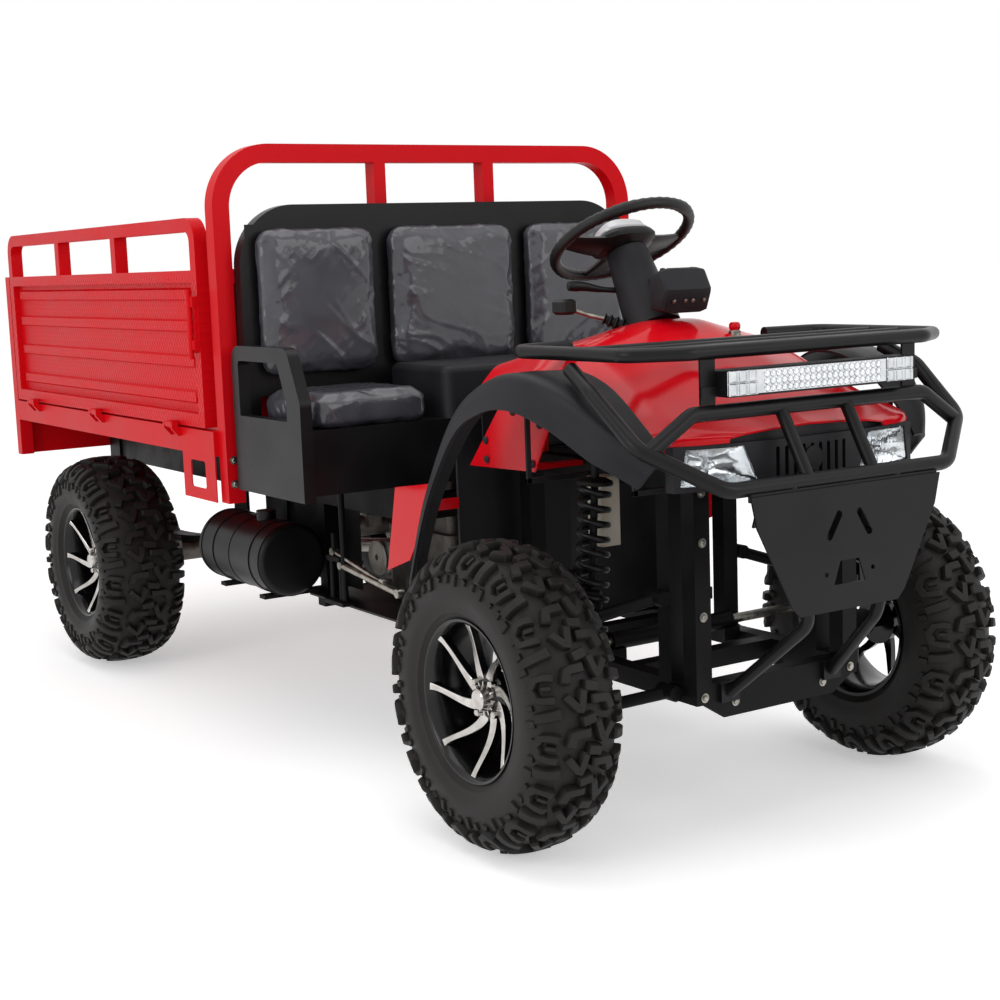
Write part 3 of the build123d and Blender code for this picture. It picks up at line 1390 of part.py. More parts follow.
# Headboard: bent hoop, sheet panel with ribs, two stanchions
HEADBOARD_BEND = 156
HEADBOARD_POST_Y = 165
headboard_in = HEADBOARD_HALF_W - HEADBOARD_TUBE
STANCHION_W = 34
with BuildPart() as headboard:
    with BuildSketch(Plane.YZ.offset(HEADBOARD_X)):
        with BuildLine():
            FilletPolyline(
                (-HEADBOARD_HALF_W, BED_SKIRT_Z),
                (-HEADBOARD_HALF_W, HEADBOARD_TOP_Z),
                (HEADBOARD_HALF_W, HEADBOARD_TOP_Z),
                (HEADBOARD_HALF_W, BED_SKIRT_Z),
                radius=HEADBOARD_BEND,
            )
            Line((-HEADBOARD_HALF_W, BED_SKIRT_Z), (HEADBOARD_HALF_W, BED_SKIRT_Z))
        make_face()
        with BuildLine():
            FilletPolyline(
                (-headboard_in, BED_SKIRT_Z),
                (-headboard_in, HEADBOARD_TOP_Z - HEADBOARD_TUBE),
                (headboard_in, HEADBOARD_TOP_Z - HEADBOARD_TUBE),
                (headboard_in, BED_SKIRT_Z),
                radius=HEADBOARD_BEND - HEADBOARD_TUBE,
            )
            Line((-headboard_in, BED_SKIRT_Z), (headboard_in, BED_SKIRT_Z))
        make_face(mode=Mode.SUBTRACT)
        with Locations((0, GATE_TOP_Z - 18), (0, sill_z + SILL_H / 2)):
            Rectangle(2 * headboard_in + 4, 36)
        post_z = (GATE_TOP_Z + HEADBOARD_TOP_Z) / 2 - 22
        with Locations((-HEADBOARD_POST_Y, post_z), (HEADBOARD_POST_Y, post_z)):
            Rectangle(STANCHION_W, HEADBOARD_TOP_Z - GATE_TOP_Z)
    extrude(amount=HEADBOARD_TUBE)
    with BuildSketch(Plane.YZ.offset(HEADBOARD_X)):
        with Locations((0, (sill_z + GATE_TOP_Z) / 2)):
            Rectangle(2 * headboard_in + 4, GATE_TOP_Z - sill_z)
    extrude(amount=SHEET)
save(headboard.part, "headboard")

# Drop sides: hoop over a ribbed panel, with stanchions and hinge knuckles
GATE_BEND = 60
GATE_FRONT_GAP = 48
LATCH_T = 9
LATCH_W = 26
LATCH_LOW_Z = 985
LATCH_HIGH_Z = 1115
gate_low_z = BED_SILL_Z + SWING_GAP
gate_x = (bed_rear_x + SWING_GAP, HEADBOARD_X - GATE_FRONT_GAP)
gate_posts = [gate_x[0] + share * (gate_x[1] - gate_x[0]) for share in (0.316, 0.626)]
gate_rib_z = (870, 960, 1050, 1130)
RIB_H = 34
RIB_OUT = 9


with BuildPart() as gate_left:
    with BuildSketch(Plane(origin=(0, BED_HALF_W, 0), x_dir=(1, 0, 0), z_dir=(0, -1, 0))):
        for inset, mode in ((0, Mode.ADD), (HOOP, Mode.SUBTRACT)):
            left = (gate_x[0] + inset, gate_low_z + inset)
            right = (gate_x[1] - inset, gate_low_z + inset)
            top = RAIL_HOOP_Z - inset
            with BuildLine():
                FilletPolyline(left, (left[0], top), (right[0], top), right, radius=GATE_BEND - inset)
                Line(left, right)
            make_face(mode=mode)
        with Locations(((gate_x[0] + gate_x[1]) / 2, GATE_TOP_Z - 15)):
            Rectangle(gate_x[1] - gate_x[0] - 4, 30)
        with Locations(*[(post_x, (GATE_TOP_Z + RAIL_HOOP_Z) / 2 - 8) for post_x in gate_posts]):
            Rectangle(HOOP, RAIL_HOOP_Z - GATE_TOP_Z)
    extrude(amount=GATE_T)
    with BuildSketch(Plane(origin=(0, BED_HALF_W - GATE_T / 2, 0), x_dir=(1, 0, 0), z_dir=(0, -1, 0))):
        with Locations(((gate_x[0] + gate_x[1]) / 2, (gate_low_z + GATE_TOP_Z) / 2)):
            Rectangle(gate_x[1] - gate_x[0] - 4, GATE_TOP_Z - gate_low_z - 4)
    extrude(amount=SHEET)
    with BuildSketch(Plane(origin=(0, BED_HALF_W - GATE_T / 2, 0), x_dir=(1, 0, 0), z_dir=(0, 1, 0))):
        for z in gate_rib_z:
            with Locations(((gate_x[0] + gate_x[1]) / 2, -z)):
                Rectangle(gate_x[1] - gate_x[0] - 2 * HOOP - 60, RIB_H)
    extrude(amount=RIB_OUT, taper=30)
    with BuildSketch(Plane(origin=(0, BED_HALF_W, 0), x_dir=(1, 0, 0), z_dir=(0, 1, 0))):
        with Locations((gate_x[1] - 4 - LATCH_W / 2, -(LATCH_LOW_Z + LATCH_HIGH_Z) / 2)):
            RectangleRounded(LATCH_W, LATCH_HIGH_Z - LATCH_LOW_Z, 6)
    extrude(amount=LATCH_T)
    for at in side_hinges:
        with BuildSketch(Plane(origin=(at - HINGE_HALF, hinge_y, hinge_z), x_dir=(0, 1, 0), z_dir=(1, 0, 0))):
            Circle(HINGE_R)
            with Locations((-HINGE_OUT / 2 - 1, 5)):
                Rectangle(HINGE_OUT + 2, 8)
            Circle(HINGE_PIN_R + RUN_GAP, mode=Mode.SUBTRACT)
        extrude(amount=2 * HINGE_HALF)
save(gate_left.part, "side_gate_left")
save(flipped(gate_left.part), "side_gate_right")

# Rear frame of the bed: corner posts, lamp board and the tailgate's hinge lugs
post_front_x = bed_rear_x
rear_bars = [
    box_between((tail_face_x, -sill_in, BED_SKIRT_Z), (tail_face_x + SHEET, sill_in, BED_SILL_Z - 2)),
]
for side in both_sides:
    low_y, high_y = sorted((side * sill_in, side * BED_HALF_W))
    rear_bars.append(box_between((tail_face_x, low_y, BED_SKIRT_Z), (post_front_x, high_y, GATE_TOP_Z)))
for at in tail_hinges:
    for end in both_sides:
        low_y, high_y = sorted((at + end * (HINGE_HALF + 1), at + end * (HINGE_HALF + 1 + LUG_T)))
        rear_bars.append(
            box_between((tail_x, low_y, hinge_z - 26), (tail_face_x + 1, high_y, BED_SILL_Z - 3))
        )
        rear_bars.append(
            box_between((tail_x, low_y, BED_SILL_Z - 4), (tail_x + 2 * HINGE_R, high_y, hinge_z + 6))
        )
    rear_bars.append(
        round_tube(
            [(tail_hinge_x, at - HINGE_HALF - 2, hinge_z), (tail_hinge_x, at + HINGE_HALF + 2, hinge_z)],
            HINGE_PIN_R,
            0,
        )
    )
save(joined(rear_bars), "bed_rear_frame")

tail_half = sill_in - SWING_GAP
with BuildPart() as tailgate:
    with BuildSketch(Plane.YZ.offset(tail_face_x)):
        with Locations((0, (gate_low_z + GATE_TOP_Z) / 2)):
            Rectangle(2 * tail_half, GATE_TOP_Z - gate_low_z)
            Rectangle(2 * (tail_half - HOOP), GATE_TOP_Z - gate_low_z - 2 * HOOP, mode=Mode.SUBTRACT)
    extrude(amount=GATE_T)
    with BuildSketch(Plane.YZ.offset(tail_face_x + GATE_T / 2)):
        with Locations((0, (gate_low_z + GATE_TOP_Z) / 2)):
            Rectangle(2 * tail_half - 4, GATE_TOP_Z - gate_low_z - 4)
    extrude(amount=SHEET)
    with BuildSketch(Plane(origin=(tail_face_x + GATE_T / 2, 0, 0), x_dir=(0, 1, 0), z_dir=(-1, 0, 0))):
        for z in (910, 990, 1070):
            with Locations((0, -z)):
                Rectangle(2 * tail_half - 2 * HOOP - 60, RIB_H)
    extrude(amount=RIB_OUT, taper=30)
    for at in tail_hinges:
        with BuildSketch(Plane(origin=(tail_hinge_x, at - HINGE_HALF, hinge_z), x_dir=(1, 0, 0), z_dir=(0, 1, 0))):
            Circle(HINGE_R)
            with Locations((HINGE_OUT / 2 + 1, -5)):
                Rectangle(HINGE_OUT + 2, 8)
            Circle(HINGE_PIN_R + RUN_GAP, mode=Mode.SUBTRACT)
        extrude(amount=2 * HINGE_HALF)
save(tailgate.part, "tailgate")

TAIL_LAMP_T = 12
tail_lamp = box_between((tail_face_x - TAIL_LAMP_T, 470, 640), (tail_face_x, 580, 700))
save(apart([tail_lamp, flipped(tail_lamp)]), "tail_lamps")

# Hitch plate under the rear cross bar
HITCH_PIN_R = 10
HITCH_T = 12
hitch_x = tail_x + 34
with BuildPart() as hitch_plate:
    with BuildSketch(Plane.XY.offset(rail_bottom - HITCH_T)):
        with BuildLine():
            Polyline(
                (rail_rear_x + POST, -70),
                (rail_rear_x, -70),
                (hitch_x - 24, -24),
                (hitch_x - 24, 24),
                (rail_rear_x, 70),
                (rail_rear_x + POST, 70),
                close=True,
            )
        make_face()
        with Locations((hitch_x, 0)):
            Circle(HITCH_PIN_R, mode=Mode.SUBTRACT)
    extrude(amount=HITCH_T)
save(hitch_plate.part, "hitch_plate")

# Coolant bottle on the right of the tower
BOTTLE_W = 46
bottle = box_between(
    (front_axle_x - 40, -low_rail_out - BOTTLE_W, 590),
    (front_axle_x + 10, -low_rail_out, 735),
)
save(bottle, "coolant_bottle")
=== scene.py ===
"""Looks of the utility quad bike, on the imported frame.

X runs forward, Y to the left and Z up, in metres, with the origin on the ground. Each new piece is a
surface worked out with numpy, placed in its own mesh, and rides on the body that carries it.
"""

import json
from math import cos, pi, radians, sin

import bmesh
import bpy
import numpy as np
from mathutils import Matrix, Vector


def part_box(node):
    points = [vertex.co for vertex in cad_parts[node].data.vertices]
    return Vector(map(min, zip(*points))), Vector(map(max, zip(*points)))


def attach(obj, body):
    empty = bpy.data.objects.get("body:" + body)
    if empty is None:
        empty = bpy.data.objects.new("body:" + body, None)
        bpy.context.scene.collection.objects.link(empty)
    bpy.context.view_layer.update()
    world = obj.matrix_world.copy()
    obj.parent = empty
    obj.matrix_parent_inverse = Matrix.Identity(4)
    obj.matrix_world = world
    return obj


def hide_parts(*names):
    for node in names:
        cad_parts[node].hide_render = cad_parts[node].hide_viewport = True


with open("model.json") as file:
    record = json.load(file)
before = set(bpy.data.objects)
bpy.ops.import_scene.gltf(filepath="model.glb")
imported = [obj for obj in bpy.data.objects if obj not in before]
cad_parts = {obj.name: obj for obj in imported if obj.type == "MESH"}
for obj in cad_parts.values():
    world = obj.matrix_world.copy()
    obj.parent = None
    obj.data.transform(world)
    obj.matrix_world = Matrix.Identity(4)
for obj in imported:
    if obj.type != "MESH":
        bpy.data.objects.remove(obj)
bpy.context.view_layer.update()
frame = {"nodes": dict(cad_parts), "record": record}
nodes = frame["nodes"]
scene = bpy.context.scene
scene.view_settings.view_transform = "Standard"

# Camera: where the photograph was taken from, and how it was turned
CAMERA_AT = (3.927, -2.299, 1.187)
CAMERA_YAW = radians(32.75)
CAMERA_PITCH = radians(8.13)
CAMERA_ROLL = radians(-2.08)
SENSOR_MM = 36
# Focal length as a share of the sensor's width
FOCAL_SHARE = 1.67626

ahead = Vector(
    (-cos(CAMERA_YAW) * cos(CAMERA_PITCH), sin(CAMERA_YAW) * cos(CAMERA_PITCH), -sin(CAMERA_PITCH))
)
level = ahead.cross(Vector((0, 0, 1))).normalized()
upright = level.cross(ahead)
across = level * cos(CAMERA_ROLL) + upright * sin(CAMERA_ROLL)
upward = upright * cos(CAMERA_ROLL) - level * sin(CAMERA_ROLL)
camera_data = bpy.data.cameras.new("camera")
camera_data.sensor_width = SENSOR_MM
camera_data.lens = SENSOR_MM * FOCAL_SHARE
camera = bpy.data.objects.new("camera", camera_data)
camera_turn = Matrix((across, upward, -ahead)).transposed().to_4x4()
camera.matrix_world = Matrix.Translation(CAMERA_AT) @ camera_turn
scene.collection.objects.link(camera)
scene.camera = camera


def linear(code):
    """Linear RGBA of an sRGB hex colour: each channel over 255, through the sRGB curve."""
    srgb = np.array([int(code[i : i + 2], 16) for i in (0, 2, 4)]) / 255
    low = srgb / 12.92
    high = ((srgb + 0.055) / 1.055) ** 2.4
    return (*np.where(srgb <= 0.04045, low, high).tolist(), 1.0)


def add(tree, kind, settings, links):
    """Adds a node, gives it the named socket values or fields, and links the named inputs."""
    made = tree.nodes.new(kind)
    for key, value in settings.items():
        if key in made.inputs.keys() or isinstance(key, int):
            made.inputs[key].default_value = value
        else:
            setattr(made, key, value)
    for key, source in links.items():
        tree.links.new(source, made.inputs[key])
    return made


def finish(name, **sockets):
    """Material of one surface shader, with the sockets that are the same all over."""
    made = bpy.data.materials.new(name)
    made.use_nodes = True
    shader = made.node_tree.nodes["Principled BSDF"]
    for key, value in sockets.items():
        shader.inputs[key.replace("_", " ")].default_value = value
    return made


# Values of the noise between which a mottled surface goes from one tone, or one gloss, to the other
TONE_FROM, TONE_TO = 0.36, 0.64
GLOSS_FROM, GLOSS_TO = 0.3, 0.7


def mottle(name, pale, dark, patch_mm, rough, grain_mm, depth_mm, **sockets):
    """Material whose patches of patch_mm blend two tones and two roughnesses under a fine grain.

    Patches, and the grain of grain_mm that stands depth_mm high, are noises on Object coordinates, whose
    scale is one over the size in metres.
    """
    made = finish(name, **sockets)
    tree = made.node_tree
    shader = tree.nodes["Principled BSDF"]
    place = add(tree, "ShaderNodeTexCoord", {}, {}).outputs["Object"]
    patch = add(tree, "ShaderNodeTexNoise", {"Scale": 1000 / patch_mm, "Detail": 4.0}, {"Vector": place})
    grain = add(tree, "ShaderNodeTexNoise", {"Scale": 1000 / grain_mm, "Detail": 2.0}, {"Vector": place})
    share = patch.outputs["Fac"]
    tone = add(tree, "ShaderNodeValToRGB", {}, {"Fac": share})
    tone.color_ramp.elements[0].position = TONE_FROM
    tone.color_ramp.elements[0].color = linear(dark)
    tone.color_ramp.elements[1].position = TONE_TO
    tone.color_ramp.elements[1].color = linear(pale)
    ends = {"From Min": GLOSS_FROM, "From Max": GLOSS_TO, "To Min": rough[0], "To Max": rough[1]}
    gloss = add(tree, "ShaderNodeMapRange", ends, {"Value": share})
    depth = {"Strength": 1.0, "Distance": depth_mm / 1000}
    relief = add(tree, "ShaderNodeBump", depth, {"Height": grain.outputs["Fac"]})
    tree.links.new(tone.outputs["Color"], shader.inputs["Base Color"])
    tree.links.new(gloss.outputs["Result"], shader.inputs["Roughness"])
    tree.links.new(relief.outputs["Normal"], shader.inputs["Normal"])
    return made


def red_coat(name):
    """The cargo bed's coat as a material of that name."""
    return mottle(name, "d60a17", "d00915", 180, (0.34, 0.44), 5, 0.10, IOR=1.5, Specular_IOR_Level=0.1)


# Polyester powder coat baked on sheet steel: bright red, with the faint orange peel of the melt
red_powder = red_coat("powder_coated_steel_red")
# Injection-moulded ABS, high gloss: deep red body panels that mirror the studio
red_moulding = mottle(
    "gloss_moulded_abs_red", "dc0a1b", "d00817", 240, (0.12, 0.18), 30, 0.06,
    IOR=1.5, Specular_IOR_Level=0.2,
)
# Polypropylene out of a grained mould: charcoal, soft sheen; grain drawn at 2 mm so that it shows
grained_moulding = mottle(
    "grained_polypropylene_charcoal", "242326", "1d1c1f", 120, (0.42, 0.52), 2, 0.05,
    IOR=1.49, Specular_IOR_Level=0.2,
)
# Satin black powder coat on tube and plate, with a dusting of handling marks
black_powder = mottle(
    "powder_coated_steel_black", "161517", "0f0e10", 140, (0.30, 0.42), 3, 0.06,
    IOR=1.5, Specular_IOR_Level=0.2,
)
# Under-body paint on rails, arms and springs: flatter, a little greyer in patches
chassis_paint = mottle(
    "chassis_black_enamel", "131212", "0b0a0a", 90, (0.40, 0.58), 4, 0.12,
    IOR=1.5, Specular_IOR_Level=0.12,
)
# Carbon-black rubber as it leaves the mould: dark warm grey, a little bloom
tyre_rubber = mottle(
    "vulcanised_rubber", "262423", "1d1b1a", 60, (0.46, 0.60), 3, 0.12,
    IOR=1.52, Specular_IOR_Level=0.18,
)
# Marine vinyl over foam under clear film: charcoal leather grain of about 4 mm, and the film's thin gloss
seat_vinyl = mottle(
    "grained_vinyl", "46464c", "3b3b41", 70, (0.40, 0.52), 4, 0.20,
    IOR=1.5, Specular_IOR_Level=0.35, Coat_Weight=0.7, Coat_Roughness=0.09,
)
# Sand-cast aluminium: pale grey, granular, dull
cast_alloy = mottle("sand_cast_aluminium", "7a7670", "58554f", 40, (0.45, 0.62), 3, 0.20, Metallic=0.8)
# Zinc-plated steel: cool grey with faint yellow patches
zinc_plate = mottle("zinc_plated_steel", "a6a49c", "86827a", 15, (0.28, 0.42), 2, 0.03, Metallic=1.0)
# Polyurethane foam skin of the steering wheel: near black, leathery
wheel_foam = mottle(
    "polyurethane_skin_black", "141313", "0e0d0d", 50, (0.40, 0.50), 2, 0.10,
    IOR=1.5, Specular_IOR_Level=0.3,
)
# Blow-moulded polyethylene: milky, a little see-through
milky_poly = mottle(
    "blow_moulded_polyethylene", "b8b4a6", "a5a090", 60, (0.40, 0.50), 6, 0.15,
    IOR=1.51, Subsurface_Weight=0.3,
)
# Acrylic lamp lens, red right through
red_lens = mottle(
    "red_acrylic_lens", "a40812", "8c0610", 50, (0.08, 0.12), 8, 0.20,
    IOR=1.49, Coat_Weight=0.5, Coat_Roughness=0.03,
)
# Vacuum-metallised reflector: bright and nearly smooth
bright_reflector = mottle(
    "metallised_reflector", "e6e8ea", "d4d7da", 20, (0.06, 0.12), 10, 0.10,
    Metallic=1.0,
)

finishes = {
    "red_paint": red_powder,
    "red_plastic": red_moulding,
    "black_paint": black_powder,
    "dark_plastic": grained_moulding,
    "grip": wheel_foam,
    "vinyl": seat_vinyl,
    "tyre": tyre_rubber,
    "alloy": zinc_plate,
    "steel": zinc_plate,
    "castings": cast_alloy,
    "tank": black_powder,
    "bottle": milky_poly,
    "light_bar": black_powder,
    "lamp": bright_reflector,
    "tail_lamp": red_lens,
}
under_body = (
    "main_frame", "front_frame", "suspension_arms", "leaf_springs",
    "hitch_plate", "knuckle_left", "knuckle_right",
)
for part in frame["record"]["subparts"]:
    shown = nodes[part["node"]]
    shown.data.materials.clear()
    shown.data.materials.append(finishes[part["material_slot"]])
for name in under_body:
    nodes[name].data.materials[0] = chassis_paint


def coords(*parts):
    """Coordinates side by side on a last axis, each spread to the size of the largest."""
    return np.stack(np.broadcast_arrays(*parts), -1)


def unit(vectors):
    """The vectors over their lengths."""
    return vectors / np.linalg.norm(vectors, axis=-1, keepdims=True)


def through(points, count):
    """Catmull-Rom curve through the points, at count even steps of its parameter."""
    known = np.asarray(points, float)
    step = np.linspace(0, len(known) - 1, count)
    first = np.minimum(step.astype(int), len(known) - 2)
    share = (step - first).reshape(-1, *[1] * (known.ndim - 1))
    a, b, c, d = (known[np.clip(first + k, 0, len(known) - 1)] for k in (-1, 0, 1, 2))
    return b + 0.5 * share * (c - a + share * (2 * a - 5 * b + 4 * c - d + share * (3 * (b - c) + d - a)))


def along_runs(points, shares):
    """Points at the given shares of the length of straight runs."""
    known = np.asarray(points, float)
    gone = np.concatenate([[0], np.cumsum(np.linalg.norm(np.diff(known, axis=0), axis=1))])
    at = np.asarray(shares) * gone[-1]
    return np.stack([np.interp(at, gone, known[:, k]) for k in range(known.shape[1])], -1)


def shape(points, round_rows=False, round_columns=False, capped=False):
    """One grid of points, or several equal ones, with the faces between neighbours.

    round_rows and round_columns join the last row or column to the first, and capped fills the end rows.
    """
    grids = points.reshape(-1, *points.shape[-3:])
    count, rows, columns = grids.shape[:3]
    first = np.arange(count)[:, None, None] * rows * columns
    u = np.arange(rows - 1 + round_rows)[:, None]
    v = np.arange(columns - 1 + round_columns)[None, :]
    next_u = (u + 1) % rows
    next_v = (v + 1) % columns
    corners = (u * columns + v, next_u * columns + v, next_u * columns + next_v, u * columns + next_v)
    quads = coords(*corners).reshape(-1, 4)
    faces = (quads[None] + first).reshape(-1, 4).tolist()
    if capped:
        ring = first[:, 0] + np.arange(columns)
        faces += ring[:, ::-1].tolist() + (ring + (rows - 1) * columns).tolist()
    return grids.reshape(-1, 3), faces


def solid(loops):
    """Closed body of loops one after another, the first and the last of them filled."""
    return shape(loops, round_columns=True, capped=True)


def carried(path, section, up=(0, 0, 1), closed=False):
    """A closed section carried along a path, its first axis across the path and its second towards up."""
    ahead = np.gradient(path, axis=0)
    if closed:
        ahead = np.roll(path, -1, 0) - np.roll(path, 1, 0)
    side = unit(np.cross(ahead, up))
    top = unit(np.cross(side, ahead))
    section = np.broadcast_to(section, (len(path), *np.shape(section)[-2:]))
    points = path[:, None] + section[..., :1] * side[:, None] + section[..., 1:] * top[:, None]
    return shape(points, round_rows=closed, round_columns=True, capped=not closed)


def circle(radius, count):
    """Points round a circle, or round one circle for each radius."""
    turn = np.arange(count) * 2 * pi / count
    reach = np.asarray(radius)[..., None]
    return coords(reach * np.cos(turn), reach * np.sin(turn))


def turned(profile, count):
    """A profile of (radius, height) pairs turned about the Z axis: rows go round, columns along it."""
    profile = np.asarray(profile, float)
    turn = (np.arange(count) * 2 * pi / count)[:, None]
    radius, height = profile[:, 0], profile[:, 1]
    return coords(radius * np.cos(turn), radius * np.sin(turn), height)


def set_at(points, origin, ahead, up):
    """Points moved to origin, their X axis turned along ahead and their Z axis as near up as it goes."""
    x = unit(np.asarray(ahead, float))
    y = unit(np.cross(up, x))
    return np.asarray(origin, float) + points @ np.stack([x, y, np.cross(x, y)])


# Points nearer to each other than this, in metres, become one
MERGE_WITHIN = 1e-5


def piece(name, shapes, look, replaced=(), crease=38, body="chassis"):
    """One object from several shapes: doubles merged, faces outwards, edges sharper than crease hard."""
    starts = np.cumsum([0] + [len(points) for points, _ in shapes])
    points = np.concatenate([points for points, _ in shapes])
    faces = [[k + start for k in face] for (_, some), start in zip(shapes, starts) for face in some]
    mesh = bpy.data.meshes.new(name)
    mesh.from_pydata(points.tolist(), [], faces)
    work = bmesh.new()
    work.from_mesh(mesh)
    bmesh.ops.remove_doubles(work, verts=work.verts, dist=MERGE_WITHIN)
    bmesh.ops.recalc_face_normals(work, faces=work.faces)
    work.to_mesh(mesh)
    work.free()
    mesh.materials.append(look)
    mesh.shade_smooth()
    mesh.set_sharp_from_angle(angle=radians(crease))
    made = bpy.data.objects.new(name, mesh)
    scene.collection.objects.link(made)
    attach(made, body)
    if replaced:
        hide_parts(*replaced)
    return made


def block(low, high, bevel):
    """Box from low to high with its edges cut off by bevel: four chamfered loops up its Z axis."""
    low, high = np.asarray(low, float), np.asarray(high, float)
    loops = []
    for z, inset in ((low[2], bevel), (low[2] + bevel, 0), (high[2] - bevel, 0), (high[2], bevel)):
        (x0, y0), (x1, y1) = low[:2] + inset, high[:2] - inset
        xs = [x0 + bevel, x1 - bevel, x1, x1, x1 - bevel, x0 + bevel, x0, x0]
        ys = [y0, y0, y0 + bevel, y1 - bevel, y1, y1, y1 - bevel, y0 + bevel]
        loops.append([(x, y, z) for x, y in zip(xs, ys)])
    return solid(np.array(loops))


def bolts(places, way, radius):
    """Hexagon heads on round washers at the places, standing along way, in shares of the head's radius."""
    washer = turned(radius * np.array([(0, 0), (1.5, 0), (1.5, 0.25), (0, 0.25)]), 18)
    head = turned(radius * np.array([(0, 0), (1, 0), (1, 0.8), (0.8, 0.95), (0, 0.95)]), 6)
    spots = np.asarray(places, float).reshape(-1, 1, 1, 3)
    level = (1, 0, 0) if abs(way[0]) < 0.9 else (0, 1, 0)
    stood = [set_at(form, (0, 0, 0), level, way) + spots for form in (washer, head)]
    return [shape(points, round_rows=True) for points in stood]


def mirrored(shapes):
    """The shapes and their images across the middle plane."""
    return shapes + [(points * (1, -1, 1), faces) for points, faces in shapes]


def upright_sheet(back_x, front_x, y, low_z, high_z):
    """Thin wall along y between two x and two z, each of them one value or one for each y."""
    corners = ((back_x, high_z), (back_x, low_z), (front_x, low_z), (front_x, high_z))
    edges = [coords(x, y, z) for x, z in corners]
    return solid(np.stack(edges, 1))


def seats_over(x, ys, zs):
    """Places at each pair of ys and zs in the plane at x, set out to be added to a grid of points."""
    return np.stack(np.meshgrid([x], ys, zs, indexing="ij"), -1).reshape(-1, 1, 1, 3)


# Tyres: half profile as (radius mm, share of the half-width), and the tread blocks of one pitch
tyre_profile = [
    (301, 0), (299.5, 0.3), (292, 0.6), (275, 0.85), (244, 0.975), (214, 1.0), (190, 0.95), (181, 0.93),
    (178, 0.9), (168, 0.82), (158, 0.79),
]
LUG_PITCHES = 16
CROWN_R = 301
PROFILE_STEPS = 91
ROUND_STEPS = 144
# Half-width that the blocks are drawn for, and how far the wall is drawn in to keep them in the CAD box
LUG_HALF_MM = 102.5
WALL_INSET_MM = 7
lug_table = [
    # runs of the block's middle line as (along mm, across mm), its width mm, its height mm
    ([(6, 3), (8, 40), (32, 48)], 18, 16.5),
    ([(44, 12), (84, 24), (54, 50)], 15, 16.5),
    ([(98, -9), (104, 22)], 20, 16.5),
    ([(16, 66), (8, 96), (30, 112), (54, 104), (58, 70)], 15, 15),
    ([(34, 74), (32, 92)], 9, 12),
    ([(84, 60), (92, 112)], 21, 15),
    ([(70, 118), (72, 134)], 13, 5.5),
    ([(106, 116), (108, 140)], 15, 6),
    ([(22, 122), (40, 128)], 9, 5),
]
wheel_table = [
    # end, axle x, half track, tyre width, rim width, in mm
    ("front", 1145, 524, 205, 165),
    ("rear", -1035, 540, 255, 200),
]
both_sides = (("left", 1), ("right", -1))
AXLE_Z = 317.5
# Gloss black lacquer on a cast rim, and the bare metal that the lathe leaves on its spokes
rim_lacquer = mottle(
    "black_lacquered_alloy", "0c0c0c", "070707", 60, (0.16, 0.24), 8, 0.05,
    IOR=1.5, Specular_IOR_Level=0.35,
)
turned_alloy = mottle(
    "lathe_turned_aluminium", "c9c6c2", "b2aeaa", 25, (0.16, 0.26), 3, 0.04,
    Metallic=1.0,
)


def tyre_shapes(half_width):
    """Carcass and tread blocks about the Y axis, in mm.

    The carcass is the profile turned about the axle. A block is a tapered bar carried along its middle
    line, with that line laid on the carcass: along goes round the crown, across follows the profile.
    """
    side = np.array(tyre_profile) * (1, half_width)
    profile = through(np.concatenate([side[:0:-1] * (1, -1), side]), PROFILE_STEPS)
    flow = np.gradient(profile, axis=0)
    normal = unit(coords(flow[:, 1], -flow[:, 0]))
    gone = np.cumsum(np.linalg.norm(flow, axis=1))
    gone -= gone[PROFILE_STEPS // 2]

    def on_carcass(along, across, height):
        at = [np.interp(across, gone, column) for column in (*profile.T, *normal.T)]
        radius = at[0] + height * at[2]
        turn = along / CROWN_R
        return coords(radius * np.sin(turn), at[1] + height * at[3], radius * np.cos(turn))

    round_steps = np.linspace(0, 2 * pi * CROWN_R, ROUND_STEPS + 1)[:-1, None]
    shapes = [shape(on_carcass(*np.broadcast_arrays(round_steps, gone, 0.0)), round_rows=True)]
    pitch = 2 * pi * CROWN_R / LUG_PITCHES
    spread = half_width / LUG_HALF_MM
    section = np.array([(-0.58, -0.3), (-0.5, 0.75), (-0.4, 1), (0.4, 1), (0.5, 0.75), (0.58, -0.3)])
    shares = [0, 0.05, 0.15, 0.3, 0.42, 0.5, 0.58, 0.7, 0.85, 0.95, 1]
    fall = np.ones(len(shares))
    fall[[0, -1]] = 0.72
    for runs, width, height in lug_table:
        line = along_runs(np.array(runs) * (1, spread), shares)
        flow = np.gradient(line, axis=0)
        across = unit(coords(-flow[:, 1], flow[:, 0]))
        bar = line[:, None] + section[None, :, :1] * width * across[:, None]
        lift = section[None, :, 1] * height * fall[:, None]
        starts = np.arange(LUG_PITCHES)[:, None, None] * pitch
        for hand in (1, -1):
            offset = starts + (pitch / 2 if hand < 0 else 0)
            points = on_carcass(*np.broadcast_arrays(bar[..., 0] + offset, hand * bar[..., 1], lift))
            shapes.append(solid(points))
    return shapes


# Spokes of a rim, the angle they swirl by, and the radii of their ends and of the ring of nuts, in mm
SPOKES = 8
SWIRL = radians(34)
SPOKE_ROOT_R, SPOKE_TIP_R = 34, 156
NUT_RING_R = 44
# How far the hub's face and the spokes' tips lie inside the lip
FACE_INSET, TIP_INSET = 50, 9


